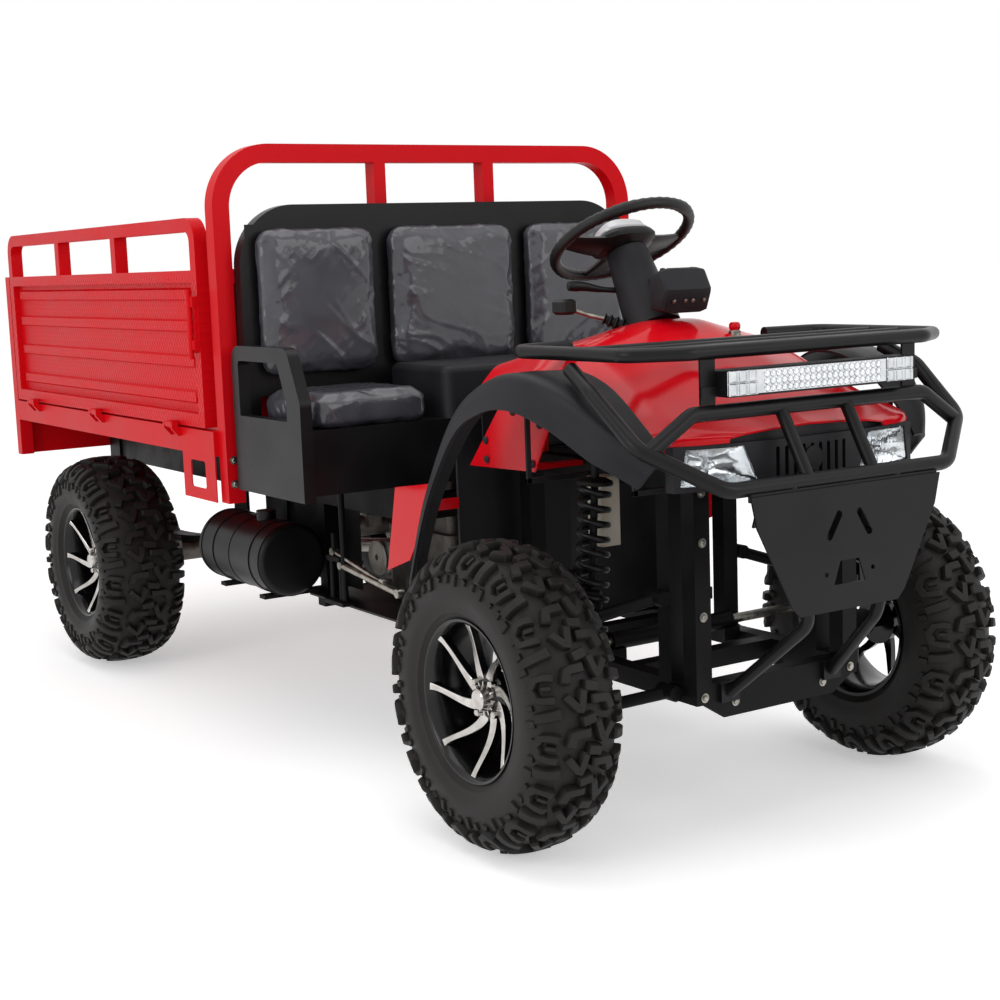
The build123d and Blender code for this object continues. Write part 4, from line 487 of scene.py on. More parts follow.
def rim_shapes(half_width):
    """Barrel, dark spokes and hub; then bright spoke faces, cap, ribs and nuts; about the Z axis in mm.

    A spoke's middle line runs out from the hub while it turns back by the swirl and rises to the lip.
    """
    w = half_width
    loop = [(167, w), (167, w - 6), (157, w - 11), (157, 11 - w), (167, 6 - w), (167, -w), (160, -w)]
    loop += [(151, 13 - w), (147, 0.3 - w / 2), (147, w / 3), (153, w - 15), (161, w - 2), (164, w)]
    dark = [shape(turned(loop, 96), round_rows=True, round_columns=True)]
    face = w - FACE_INSET
    u = np.linspace(0, 1, 16)
    reach = SPOKE_ROOT_R + (SPOKE_TIP_R - SPOKE_ROOT_R) * u
    turn = np.arange(SPOKES)[:, None] * 2 * pi / SPOKES + SWIRL * (1 - u) ** 1.7
    rise = face + (w - TIP_INSET - face) * u**1.5
    middle = coords(reach * np.cos(turn), reach * np.sin(turn), rise)
    ahead = np.gradient(middle, axis=1)
    side = unit(np.cross(ahead, (0, 0, 1)))
    half = (5.5 + 8 * (1 - u) ** 2 + 2.5 * u**10)[None, :, None, None]
    bright = []
    for group, section in (
        (dark, [(-1, 0), (1, 0), (1.15, -15), (-1.15, -15)]),
        (bright, [(-0.98, 0.1), (-0.86, 1.3), (0.86, 1.3), (0.98, 0.1)]),
    ):
        wide, tall = np.hsplit(np.array(section), 2)
        points = middle[:, :, None] + wide * half * side[:, :, None] + tall * (0, 0, 1)
        group.append(solid(points))
    hub = [(0, face - 24), (58, face - 24), (56, face - 6), (46, face + 1), (30, face + 3), (0, face + 3)]
    dark.append(shape(turned(hub, 48), round_rows=True))
    cap = [(0, face), (29, face), (28, face + 8), (22, face + 24), (19, face + 26), (0, face + 26.5)]
    bright.append(shape(turned(cap, 40), round_rows=True))
    nut_turn = np.arange(4)[:, None, None] * pi / 2 + radians(52)
    nut = turned([(0, face + 2), (8, face + 2), (8, face + 11), (6, face + 13), (0, face + 13)], 6)
    shift = NUT_RING_R * coords(np.cos(nut_turn), np.sin(nut_turn), 0)
    bright.append(shape(nut[None] + shift, round_rows=True))
    rib_turn = np.arange(12)[:, None, None] * pi / 6
    rib = np.array([(26, -2.2), (26, 2.2), (35, 1.6), (35, -1.6)])
    level = np.array([face + 2, face + 10])[:, None]
    x = rib[:, 0] * np.cos(rib_turn) - rib[:, 1] * np.sin(rib_turn)
    y = rib[:, 0] * np.sin(rib_turn) + rib[:, 1] * np.cos(rib_turn)
    bright.append(solid(coords(x, y, level)))
    return dark, bright


for end, axle_x, half_track, tyre_w, rim_w in wheel_table:
    tyre = tyre_shapes(tyre_w / 2 - WALL_INSET_MM)
    dark, bright = rim_shapes(rim_w / 2)
    for side, hand in both_sides:
        place = f"{end}_{side}"
        centre = np.array([axle_x, hand * half_track, AXLE_Z])
        to_axle = np.array([[1, 0, 0], [0, 0, 1], [0, hand, 0]])
        treaded = [((p * (1, hand, 1) + centre) / 1000, f) for p, f in tyre]
        rim, faces = ([((p @ to_axle + centre) / 1000, f) for p, f in some] for some in (dark, bright))
        body = f"wheel_{place}"
        piece(f"treaded_tyre_{place}", treaded, tyre_rubber, [f"tyre_{place}"], 30, body)
        piece(f"spoked_rim_{place}", rim, rim_lacquer, [f"rim_{place}"], body=body)
        piece(f"bright_spokes_{place}", faces, turned_alloy, crease=30, body=body)

# Hood: half sections from the middle out, as x, then (y, z) at ridge, shoulder, edge and skirt, in mm
hood_table = [
    (762, (150, 975), (262, 955), (335, 880), (337, 862)),
    (900, (105, 1008), (254, 985), (333, 922), (335, 902)),
    (1010, (74, 1040), (250, 1000), (330, 948), (332, 928)),
    (1100, (68, 1040), (254, 990), (330, 943), (332, 923)),
    (1230, (112, 968), (262, 938), (333, 898), (335, 878)),
    (1340, (118, 912), (268, 892), (336, 866), (338, 846)),
    (1436, (118, 866), (262, 854), (330, 840), (331, 826)),
    (1490, (100, 846), (165, 842), (205, 836), (206, 826)),
]
HOOD_WALL_MM = 4
# How far the middle stands over the ridges, and the points along half a section and along the hood
CROWN_RISE_MM = 3
HALF_STEPS = 41
HOOD_STEPS = 71
station_x = np.array([row[0] for row in hood_table], float)
hood_half = np.array([row[1:] for row in hood_table], float)
hood_middle = coords(0, hood_half[:, 0, 1] + CROWN_RISE_MM)[:, None]
hood_half = np.concatenate([hood_middle, hood_half], 1)
fine = np.stack([along_runs(row, np.linspace(0, 1, HALF_STEPS)) for row in hood_half])
blur = np.array([1, 2, 3, 2, 1]) / 9
wide = np.pad(fine, ((0, 0), (2, 2), (0, 0)), "edge")
soft = sum(weight * wide[:, k : k + fine.shape[1]] for k, weight in enumerate(blur))
fine[:, 1:-1] = soft[:, 1:-1]
fine[:, 0, 0] = 0
whole = np.concatenate([fine[:, :0:-1] * (-1, 1), fine], 1)
rows = coords(station_x[:, None], whole[..., 0], whole[..., 1])
skin = through(rows, HOOD_STEPS)
flow_u = np.gradient(skin, axis=0)
flow_v = np.gradient(skin, axis=1)
outward = unit(np.cross(flow_u, flow_v))
lining = skin - outward * HOOD_WALL_MM
shell = np.concatenate([skin, lining[:, ::-1]], 1)
hood_shapes = [shape(shell / 1000, round_columns=True)]
hood_shapes += [shape(np.stack([skin[k], lining[k]]) / 1000) for k in (0, -1)]
for leg_x, leg_top in ((0.850, 0.972), (1.300, 0.908)):
    hood_shapes += mirrored([block((leg_x - 0.012, 0.192, 0.76), (leg_x + 0.012, 0.208, leg_top), 0.002)])
piece("smooth_hood", hood_shapes, red_moulding, ["hood"], 28)
# Dash panel: an upright sheet just inside the hood's rear edge, cut to the lining's section there
DASH_X, DASH_T, DASH_LOW_Z, DASH_GAP = 0.800, 0.003, 0.770, 0.001
nearest = np.abs(skin[:, HALF_STEPS - 1, 0] / 1000 - DASH_X).argmin()
dash_y, lining_z = (lining[nearest, 2:-2, 1:] / 1000).T
dash = upright_sheet(DASH_X, DASH_X + DASH_T, dash_y, DASH_LOW_Z, lining_z - DASH_GAP)
piece("dash_panel", [dash], grained_moulding)

# Fender flares: x, z, outer y, inner y and lip drop in mm, carried as one rounded section
flare_table = [
    (770, 500, 520, 480, 30),
    (850, 690, 520, 470, 34),
    (960, 862, 515, 440, 45),
    (1060, 938, 505, 372, 60),
    (1170, 964, 495, 345, 72),
    (1290, 936, 475, 340, 78),
    (1400, 858, 425, 335, 80),
    (1462, 795, 365, 325, 72),
]
flare = through(flare_table, 64)
run = unit(np.gradient(flare[:, :2], axis=0))
rise = coords(-run[:, 1], run[:, 0])
outer, inner_y, lip = flare[:, 2], flare[:, 3], flare[:, 4]
mid = (outer + inner_y) / 2
flare_section = [
    (inner_y, 0), (mid, 3), (outer - 18, 2), (outer - 7, -2), (outer, -11), (outer + 2, -0.5 * lip),
    (outer + 5, 5 - lip), (outer + 7, 1 - lip), (outer + 4, -lip), (outer - 3, 2 - lip),
    (outer - 4, -0.5 * lip), (outer - 7, -15), (outer - 13, -8), (outer - 20, -5), (mid, -4), (inner_y, -6),
]
flare_y = np.stack([y for y, _ in flare_section], 1)
lift = np.stack([up + 0 * lip for _, up in flare_section], 1)
grid = coords(flare[:, :1] + lift * rise[:, :1], flare_y, flare[:, 1:2] + lift * rise[:, 1:]) / 1000
flares = [solid(grid)]
for stay_x, stay_y, stay_z in ((1.061, 0.376, 0.936), (1.373, 0.340, 0.874)):
    flares.append(block((stay_x - 0.003, 0.220, 0.726), (stay_x + 0.003, stay_y + 0.012, 0.738), 0.001))
    flares.append(block((stay_x - 0.003, stay_y, 0.726), (stay_x + 0.003, stay_y + 0.012, stay_z), 0.001))
piece("fender_flares", mirrored(flares), grained_moulding, ["fenders"], 40)

# Cushions: the box's power and its cuts a side, the even mesh, the blowing up, and how far a pad may swell
PAD_POWER = 9
PAD_CUTS = 24
PAD_VOXEL = 0.007
PAD_PRESSURE = 4
PAD_FRAMES = 20
PAD_SWELL = 0.014
ROOM_BELOW = (0.004, 0.002, 0.0)
ROOM_ABOVE = (0.012, 0.002, 0.010)
CREASE_SIZES_MM = (95, 60, 34, 20)
CREASE_HEIGHT = 0.0034


def read(mesh, field):
    """A field of all the mesh's vertices, as rows of three."""
    flat = np.zeros(len(mesh.vertices) * 3)
    mesh.vertices.foreach_get(field, flat)
    return flat.reshape(-1, 3)


def cushion(name, low, high):
    """Foam pad: a rounded box from low to high in metres, blown up by cloth pressure, then creased.

    The box is a cube of grid points pushed to a superellipsoid of power PAD_POWER. The film over it
    wrinkles in thin ridges, one minus the size of sines along warped directions, which rise towards the
    pad's edges.
    """
    low, high = np.array(low), np.array(high)
    centre = (low + high) / 2
    size = (high - low) / 2
    bpy.ops.mesh.primitive_cube_add(size=2)
    pad = bpy.context.active_object
    pad.name = name
    work = bmesh.new()
    work.from_mesh(pad.data)
    bmesh.ops.subdivide_edges(work, edges=work.edges, cuts=PAD_CUTS, use_grid_fill=True)
    work.to_mesh(pad.data)
    work.free()
    co = read(pad.data, "co")
    co /= (np.abs(co) ** PAD_POWER).sum(1, keepdims=True) ** (1 / PAD_POWER)
    inset = np.minimum(0.010, size * 0.16)
    pad.data.vertices.foreach_set("co", (co * (size - inset) + centre).ravel())
    remesh = pad.modifiers.new("even_mesh", "REMESH")
    remesh.mode = "VOXEL"
    remesh.voxel_size = PAD_VOXEL
    bpy.ops.object.modifier_apply(modifier=remesh.name)
    start = read(pad.data, "co")
    moved = start.copy()
    cloth = pad.modifiers.new("foam", "CLOTH")
    cloth.settings.use_pressure = True
    cloth.settings.uniform_pressure_force = PAD_PRESSURE
    cloth.settings.effector_weights.gravity = 0
    for step in range(1, PAD_FRAMES + 1):
        scene.frame_set(step)
    blown = pad.evaluated_get(bpy.context.evaluated_depsgraph_get()).to_mesh()
    moved = read(blown, "co")
    pad.modifiers.remove(cloth)
    scene.frame_set(1)
    gone = moved - start
    far = np.linalg.norm(gone, axis=1, keepdims=True)
    moved = start + gone * np.minimum(1, PAD_SWELL / np.maximum(far, 1e-9))
    moved = np.clip(moved, low - ROOM_BELOW, high + ROOM_ABOVE)
    pad.data.vertices.foreach_set("co", moved.ravel())
    pad.data.update()
    normal = read(pad.data, "normal")
    rng = np.random.default_rng(len(name) * 7 + int(centre[1] * 100))
    ridge = np.zeros(len(moved))
    for size_mm in CREASE_SIZES_MM:
        way = unit(rng.normal(size=(2, 3)))
        warp = 0.6 * np.sin(moved @ way[1] * 2 * pi / (1.7 * size_mm / 1000) + rng.uniform(0, 6))
        wave = np.abs(np.sin(moved @ way[0] * pi / (size_mm / 1000) + warp + rng.uniform(0, 6)))
        ridge += (1 - wave) ** 6 * size_mm / CREASE_SIZES_MM[0]
    broad = np.argsort(size)[1:]
    outwards = np.abs((moved - centre) / size)[:, broad].max(1)
    ridge *= 0.15 + 0.85 * np.clip((outwards - 0.30) / 0.5, 0, 1)
    lifted = moved + normal * (ridge * CREASE_HEIGHT)[:, None]
    pad.data.vertices.foreach_set("co", lifted.ravel())
    pad.data.materials.append(seat_vinyl)
    pad.data.shade_smooth()
    smooth = pad.modifiers.new("fine", "SUBSURF")
    smooth.levels = smooth.render_levels = 1
    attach(pad, "chassis")
    return pad


back_pads = [("right", -0.572, -0.213), ("middle", -0.207, 0.207), ("left", 0.213, 0.572)]
for side, y0, y1 in back_pads:
    pad = cushion(f"back_pad_{side}", (0.138, y0, 0.905), (0.181, y1, 1.305))
    if side == "middle":
        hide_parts("back_cushions")
for side, y0, y1 in (("right", -0.580, -0.235), ("left", 0.235, 0.580)):
    pad = cushion(f"seat_pad_{side}", (0.139, y0, 0.8135), (0.476, y1, 0.888))
    if side == "left":
        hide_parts("seat_cushions")

# Headlamps: an opening with four corners, narrower at the top, with a faceted bowl behind a clear lens
FACE_X, FACE_BOW, FACE_HALF_W = 1.457, 0.042, 0.318
LAMP_STEPS = 25
LENS_INSET, LENS_BOW, LENS_T, FLUTE_DEPTH = 0.002, 0.004, 0.003, 0.0010
BOWL_INSET, BOWL_DEPTH, BOWL_T, FACET_HEIGHT = 0.006, 0.026, 0.002, 0.0016
lamp_low = [(0.1355, 0.7465), (0.3045, 0.7465)]
lamp_high = [(0.1662, 0.8175), (0.2915, 0.8175)]
# Moulded polycarbonate: clear, hard-coated
clear_lens = finish(
    "clear_polycarbonate", Base_Color=linear("f6f8f9"), IOR=1.58, Roughness=0.03, Transmission_Weight=1.0
)


def face_x(y):
    """Where the bowed face of the nose lies at y: a parabola, drawn back by FACE_BOW at FACE_HALF_W."""
    return FACE_X + FACE_BOW * (1 - (y / FACE_HALF_W) ** 2)


def lamp_grid(count):
    """Points (y, z) over the lamp opening, in rows up and columns out, and their shares from -1 to 1."""
    share = np.linspace(0, 1, count)
    up, out = np.meshgrid(share, share, indexing="ij")
    low = np.array(lamp_low[0]) + out[..., None] * (np.array(lamp_low[1]) - lamp_low[0])
    high = np.array(lamp_high[0]) + out[..., None] * (np.array(lamp_high[1]) - lamp_high[0])
    return low + up[..., None] * (high - low), 2 * up - 1, 2 * out - 1


flat, up, out = lamp_grid(LAMP_STEPS)
bowl_depth = BOWL_DEPTH * (1 - np.maximum(np.abs(up), np.abs(out)) ** 3)
facet = FACET_HEIGHT * np.abs(np.sin(7 * out) * np.sin(5 * up))
slant = face_x(flat[..., 0]) - LENS_INSET
bowl = coords(slant - BOWL_INSET - bowl_depth - facet, flat[..., 0], flat[..., 1])
back = bowl - (BOWL_T, 0, 0)
front = coords(slant + LENS_BOW * (1 - np.maximum(up**4, out**4)), flat[..., 0], flat[..., 1])
flutes = FLUTE_DEPTH * np.abs(np.sin(12 * out))
rear = front - coords(LENS_T + flutes, 0, 0)
# Lamp bulb: a small ball in the middle of the bowl
BULB_R, BULB_AHEAD = 0.0105, 0.008
bulb_turn = np.linspace(-pi / 2, pi / 2, 9)
bulb = turned(coords(BULB_R * np.cos(bulb_turn), BULB_R * np.sin(bulb_turn)), 20)
bulb_at = bowl[LAMP_STEPS // 2, LAMP_STEPS // 2] + (BULB_AHEAD, 0, 0)
# Reflector metallised over a stippled moulding: bright and satin
satin_reflector = mottle(
    "metallised_satin_reflector", "e9ebed", "dcdfe2", 12, (0.14, 0.22), 8, 0.08,
    Metallic=1.0,
)


def slab(one, other):
    """Closed thin block between two equal grids: both faces and the strip round their edge."""
    loops = [[g[0, :-1], g[:-1, -1], g[-1, :0:-1], g[:0:-1, 0]] for g in (one, other)]
    strip = np.stack([np.concatenate(sides) for sides in loops])
    return [shape(one), shape(other), shape(strip, round_columns=True)]


bowls, lenses = [], []
for hand in (1, -1):
    bowls += slab(bowl * (1, hand, 1), back * (1, hand, 1))
    lenses += slab(front * (1, hand, 1), rear * (1, hand, 1))
    bowls.append(shape(bulb + bulb_at * (1, hand, 1), round_rows=True))
piece("lamp_bowls", bowls, satin_reflector, ["headlights"], 20)
piece("lamp_lenses", lenses, clear_lens)

# Nose cowl: a low wall that follows the bow of the face and closes the gap under the hood's front edge
COWL_BACK, COWL_FRONT, COWL_LOW_Z = 0.018, 0.014, 0.812
cowl_y = np.linspace(-0.295, 0.295, 33)
cowl_x = face_x(cowl_y)
cowl_top = 0.836 + 0.008 * np.maximum(0, 1 - (cowl_y / 0.2) ** 2)
cowl = upright_sheet(cowl_x - COWL_BACK, cowl_x - COWL_FRONT, cowl_y, COWL_LOW_Z, cowl_top)
piece("nose_cowl", [cowl], grained_moulding)
# Folded lip behind the skid plate's top edge, and the lip between the seat's back sheet and its top tube
skid_lip = block((1.585, -0.246, 0.724), (1.5957, 0.246, 0.741), 0.001)
back_lip = block((0.1325, -0.485, 1.288), (0.1355, 0.485, 1.312), 0.001)
piece("folded_lips", [skid_lip, back_lip], black_powder)

# Light bar: rows of small domed lenses in the middle and square cups at the ends, on a bright plate
BAR_FACE_X = 1.5325
dome = np.linspace(0, pi / 2, 5)
domes = turned(coords(0.0072 * np.cos(dome), 0.005 * np.sin(dome)), 10)
seats_y = np.linspace(-0.147, 0.147, 21)
seats_z = np.array([0.929, 0.943, 0.957])
led_domes = shape(domes[..., [2, 0, 1]] + seats_over(BAR_FACE_X, seats_y, seats_z), round_rows=True)
cup = np.array([(1, 0.001), (0.9, 0.004), (0.55, -0.004), (0.2, -0.006)])
square = np.array([(-1, -1), (1, -1), (1, 1), (-1, 1)])
cups_y = np.array([-0.231, -0.207, -0.183, 0.183, 0.207, 0.231])
cups_z = np.array([0.9305, 0.9555])
cup_sides = cup[:, None, :1] * square * (0.0115, 0.0118)
rings = coords(cup[:, 1:], cup_sides[..., 0], cup_sides[..., 1])
led_cups = shape(rings + seats_over(BAR_FACE_X, cups_y, cups_z), round_columns=True)
backing = block((BAR_FACE_X - 0.002, -0.245, 0.9205), (BAR_FACE_X - 0.0002, 0.245, 0.9655), 0.0005)
piece("light_bar_optics", [led_domes, led_cups, backing], bright_reflector, crease=25)

# Front dampers: foot and top in mm, a body and rod, and a wound spring between two collars
damper_low = np.array([1170.0, 322.0, 303.0])
damper_high = np.array([1185.0, 300.0, 797.0])
COIL_R = 29.5
WIRE_R = 6.8
COIL_TURNS = 10.5
# Shares of the damper's length: where the coil starts, how far it runs, and where its two collars lie
COIL_FROM, COIL_RUN = 0.2, 0.66
COLLARS_AT = (0.17, 0.86)
axis = damper_high - damper_low
length = np.linalg.norm(axis)
wound = np.linspace(0, 1, 290)
angle = wound * COIL_TURNS * 2 * pi
coil_x = length * (COIL_FROM + COIL_RUN * wound)
coil_line = coords(coil_x, COIL_R * np.cos(angle), COIL_R * np.sin(angle))
coil = carried(coil_line, circle(WIRE_R, 10), (1, 0, 0))
tube = [(0, 0), (14, 0), (14, 20), (21, 24), (21, 200), (17, 206), (8, 208), (8, length), (0, length)]
collar = np.array([(8, 0), (37, 0), (38, 3), (37, 8), (24, 14), (8, 14)])
damper_shapes = [shape(turned(tube, 28)[..., [2, 0, 1]], round_rows=True)]
for share in COLLARS_AT:
    lifted = collar + (0, share * length)
    damper_shapes.append(shape(turned(lifted, 28)[..., [2, 0, 1]], round_rows=True, round_columns=True))
damper_shapes = [(set_at(p, damper_low, axis, (0, 1, 0)) / 1000, f) for p, f in damper_shapes]
spring_shapes = [(set_at(coil[0], damper_low, axis, (0, 1, 0)) / 1000, coil[1])]
piece("damper_bodies", mirrored(damper_shapes), chassis_paint, ["front_shocks"])
piece("damper_springs", mirrored(spring_shapes), black_powder)

# Steering wheel: padded rim, two broad spokes and a narrow one, and a deep hub pad with a silver cover
STEER_AT = np.array([0.896, 0, 1.222])
STEER_LEAN = radians(29)
column_up = np.array([-sin(STEER_LEAN), 0, cos(STEER_LEAN)])
column_ahead = np.array([cos(STEER_LEAN), 0, sin(STEER_LEAN)])
RIM_R = 0.157
# Radius of the grip, the finger waves on it and its swell at four places; steps of a hub loop and of a spoke
GRIP_R, WAVE_HEIGHT, WAVES, SWELL_HEIGHT = 0.0125, 0.0006, 48, 0.0012
OVAL_STEPS = 48
SPOKE_STEPS = 12
hub_loops = [
    # half-length, half-width, power of the superellipse, height over the rim's plane
    (0.013, 0.013, 2, 0.0045),
    (0.013, 0.013, 2, -0.029),
    (0.042, 0.050, 2.6, -0.029),
    (0.058, 0.071, 3, -0.016),
    (0.060, 0.073, 3, -0.006),
    (0.056, 0.068, 3, 0.003),
    (0.048, 0.060, 3, 0.0065),
]
cover_loops = [
    (0.049, 0.061, 3, 0.0055),
    (0.0505, 0.0625, 3, 0.0085),
    (0.0505, 0.0625, 3, 0.0115),
    (0.046, 0.058, 3, 0.016),
    (0.043, 0.054, 3, 0.027),
    (0.036, 0.046, 3, 0.033),
    (0.020, 0.028, 3, 0.035),
]
# Silver lacquer over moulded plastic: pale, satin
silver_lacquer = mottle(
    "silver_lacquered_abs", "cfcfd1", "c4c4c6", 40, (0.28, 0.36), 6, 0.03,
    Metallic=0.35, IOR=1.5,
)


def ovals(table):
    """Loops of superellipses, |x/a|^p + |y/b|^p = 1, one over another."""
    turn = np.arange(OVAL_STEPS) * 2 * pi / OVAL_STEPS
    x, y = np.cos(turn), np.sin(turn)
    a, b, power, height = (column[:, None] for column in np.array(table).T)
    reach = (np.abs(x / a) ** power + np.abs(y / b) ** power) ** (-1 / power)
    return solid(coords(reach * x, reach * y, height))


ring_turn = np.linspace(0, 2 * pi, 97)[:-1]
swell = np.exp(-((np.cos(ring_turn * 2) - 0.5) ** 2) / 0.1)
grip = GRIP_R + WAVE_HEIGHT * np.cos(WAVES * ring_turn) + SWELL_HEIGHT * swell
ring_line = coords(RIM_R * np.cos(ring_turn), RIM_R * np.sin(ring_turn), 0)
ring = carried(ring_line, circle(grip, 16), closed=True)
wheel_shapes = [ring, ovals(hub_loops)]
spoke_section = np.array(
    [(-1, -0.15), (-0.8, 0.2), (0.8, 0.2), (1, -0.15), (0.75, -0.42), (-0.75, -0.42)]
)
for heading, root, tip in ((90, 0.044, 0.024), (270, 0.044, 0.024), (180, 0.028, 0.018)):
    reach = np.linspace(0.045, RIM_R - 0.004, SPOKE_STEPS)
    drop = -0.012 * np.cos(np.linspace(0, pi / 2, SPOKE_STEPS))
    line = coords(reach * cos(radians(heading)), reach * sin(radians(heading)), drop)
    wide = np.linspace(root, tip, SPOKE_STEPS)[:, None, None]
    thick = np.linspace(0.026, 0.016, SPOKE_STEPS)[:, None, None]
    wheel_shapes.append(carried(line, spoke_section * np.concatenate([wide, thick], -1)))
wheel_shapes = [(set_at(p, STEER_AT, column_ahead, column_up), f) for p, f in wheel_shapes]
cover_points, cover_faces = ovals(cover_loops)
cover_points = set_at(cover_points, STEER_AT, column_ahead, column_up)
piece("padded_steering_wheel", wheel_shapes, wheel_foam, ["steering_wheel"], body="steering_wheel")
piece("hub_cover", [(cover_points, cover_faces)], silver_lacquer, body="steering_wheel")

# Instrument pod: CAD's side outline as (share of depth, share of height), drawn in at both ends
pod_low, pod_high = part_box("instrument_pod")
POD_AT = np.array(pod_low)
POD_SIZE = np.array(pod_high) - POD_AT
pod_side = np.array(
    [
        (0.02, 0.04), (0.0, 0.8), (0.08, 0.86), (0.58, 1.0),
        (0.66, 0.97), (1.0, 0.52), (0.98, 0.42), (0.74, 0.0),
    ]
)
pod_middle = pod_side.mean(0)
pod_loops = []
for share, draw in ((0, 0.72), (0.04, 0.9), (0.2, 1), (0.8, 1), (0.96, 0.9), (1, 0.72)):
    outline = pod_middle + (pod_side - pod_middle) * draw
    loop = coords(outline[:, 0], share, outline[:, 1])
    pod_loops.append(POD_AT + loop * POD_SIZE)
pod_shapes = [solid(np.array(pod_loops))]
bezel = [(0.040, 0), (0.044, 0.002), (0.043, 0.005), (0.039, 0.004), (0.038, 0.001)]
dial_at = POD_AT + POD_SIZE * (0.0, 0.5, 0.46) + (0.0005, 0, 0)
bezel_ring = turned(bezel, 40)[..., [2, 1, 0]] * (-1, 1, 1) + dial_at
pod_shapes.append(shape(bezel_ring, round_rows=True, round_columns=True))
pod_knob = turned([(0, 0), (0.007, 0), (0.006, 0.008), (0.004, 0.010), (0, 0.010)], 16)
for y in (0.024, 0.104):
    pod_shapes.append(shape(pod_knob + POD_AT + (0.024, y, POD_SIZE[2] * 0.9), round_rows=True))
piece("instrument_cowl", pod_shapes, grained_moulding, ["instrument_pod"], 30)
# Dial glass: dark, mirror-smooth polycarbonate
dial_glass = finish("smoked_polycarbonate", Base_Color=linear("0b0d10"), Roughness=0.06, IOR=1.58)
glass_disc = turned([(0, 0.003), (0.039, 0.0025), (0.039, 0.001), (0, 0.001)], 40)
dial = shape(glass_disc[..., [2, 1, 0]] * (-1, 1, 1) + dial_at, round_rows=True)
piece("instrument_dial", [dial], dial_glass)
screws_y = np.array([0.18, 0.42, 0.58, 0.82])
pod_screws = POD_AT + POD_SIZE * coords(0.915, screws_y, 0.27)
piece("pod_screws", bolts(pod_screws, (0.93, 0, -0.36), 0.0032), zinc_plate)

# Column stalk with a clubbed end, and the gear lever in its ribbed boot, on the right of the column
stalk_line = through(
    [(0.927, -0.040, 1.112), (0.915, -0.080, 1.116), (0.903, -0.118, 1.124), (0.893, -0.152, 1.126)], 24
)
stalk_shares = [0, 0.25, 0.5, 0.8, 0.95, 1]
stalk_r = np.interp(np.linspace(0, 1, 24), stalk_shares, [0.0065, 0.006, 0.009, 0.0125, 0.011, 0.004])
stalk = carried(stalk_line, circle(stalk_r, 16))
LEVER_ROOT = (0.945, -0.092, 1.052)
boot_line = np.linspace((0.990, -0.030, 1.020), LEVER_ROOT, 31)
boot_r = 0.017 + 0.003 * np.cos(np.arange(31) * pi / 2.5) - 0.006 * np.linspace(0, 1, 31)
boot = carried(boot_line, circle(boot_r, 18))
lever_line = through(
    [LEVER_ROOT, (0.925, -0.122, 1.062), (0.908, -0.150, 1.074), (0.905, -0.168, 1.080)], 16
)
lever = carried(lever_line, circle(0.005, 12))
lever_knob = block((0.882, -0.190, 1.064), (0.930, -0.150, 1.098), 0.006)
piece("stalk_and_lever", [stalk, boot, lever_knob], wheel_foam, crease=35)
piece("gear_lever_rod", [lever], zinc_plate)

# Push knob on the hood: a red cap on a plated collar
KNOB_AT = np.array([1.150, 0.106, 1.006])
knob_collar = turned([(0, 0), (0.013, 0), (0.013, 0.012), (0.010, 0.015), (0, 0.015)], 20)
knob_cap = turned(
    [(0, 0.014), (0.010, 0.014), (0.0125, 0.018), (0.0125, 0.026), (0.009, 0.031), (0, 0.032)], 20
)
piece("knob_collar", [shape(knob_collar + KNOB_AT, round_rows=True)], zinc_plate)
piece("knob_cap", [shape(knob_cap + KNOB_AT, round_rows=True)], red_moulding)

# Bolts that show: places in metres, the way they stand out, head radius
bolt_table = [
    ([(1.395, y, z) for y in (-0.2, 0.2) for z in (0.305, 0.47, 0.62, 0.72)], (1, 0, 0), 0.0065),
    ([(1.395, y, 0.285) for y in (-0.12, 0.12)], (1, 0, 0), 0.0065),
    ([(0.0955, y, z) for y in (-0.615, 0.615) for z in (0.66, 0.72)], (1, 0, 0), 0.007),
]
plated = []
for places, way, radius in bolt_table:
    plated += bolts(places, way, radius)
piece("plated_bolts", plated, zinc_plate, crease=30)
# Black push clips that hold the arch panels and the flares
CLIP_Y = 0.3532
clip_places = [
    (0.850, CLIP_Y, 0.800), (0.852, CLIP_Y, 0.758), (0.960, CLIP_Y, 0.868),
    (1.060, CLIP_Y, 0.846), (1.030, CLIP_Y, 0.762),
]
clip = turned([(0, 0.0032), (0.004, 0.003), (0.008, 0.001), (0.009, -0.001), (0, -0.001)], 18)
clip = set_at(clip, (0, 0, 0), (1, 0, 0), (0, 1, 0))
clips = shape(clip + np.array(clip_places).reshape(-1, 1, 1, 3), round_rows=True)
piece("push_clips", mirrored([clips]), grained_moulding)

# Tank: two clamping bands, a seam and a rolled rim at each end, about its own X axis
TANK_AT = np.array([0, -0.425, 0.432])
TANK_R = 0.095
band_table = [
    # x, half-width and height over the shell, in metres
    (-0.310, 0.016, 0.0025),
    (-0.080, 0.016, 0.0025),
    (-0.195, 0.004, 0.0015),
    (-0.378, 0.006, 0.0020),
    (-0.012, 0.006, 0.0020),
]
BAND_SUNK = 0.003
bands = []
for x, wide, proud in band_table:
    low_r, high_r = TANK_R - BAND_SUNK, TANK_R + proud
    band = turned([(low_r, -wide), (high_r, -wide), (high_r, wide), (low_r, wide)], 72)
    bands.append(shape(band[..., [2, 0, 1]] + TANK_AT + (x, 0, 0), round_rows=True, round_columns=True))
piece("tank_bands", bands, black_powder, crease=30)

# Painted shade: black sheets that hang inside the bed's rails, ahead of the rear axle, dark where the frame
# and engine behind lie in shadow
shade_sheet = block((-0.470, 0.2715, 0.345), (0.100, 0.2745, 0.600), 0.001)
piece("painted_shade_sheets", mirrored([shade_sheet]), chassis_paint)

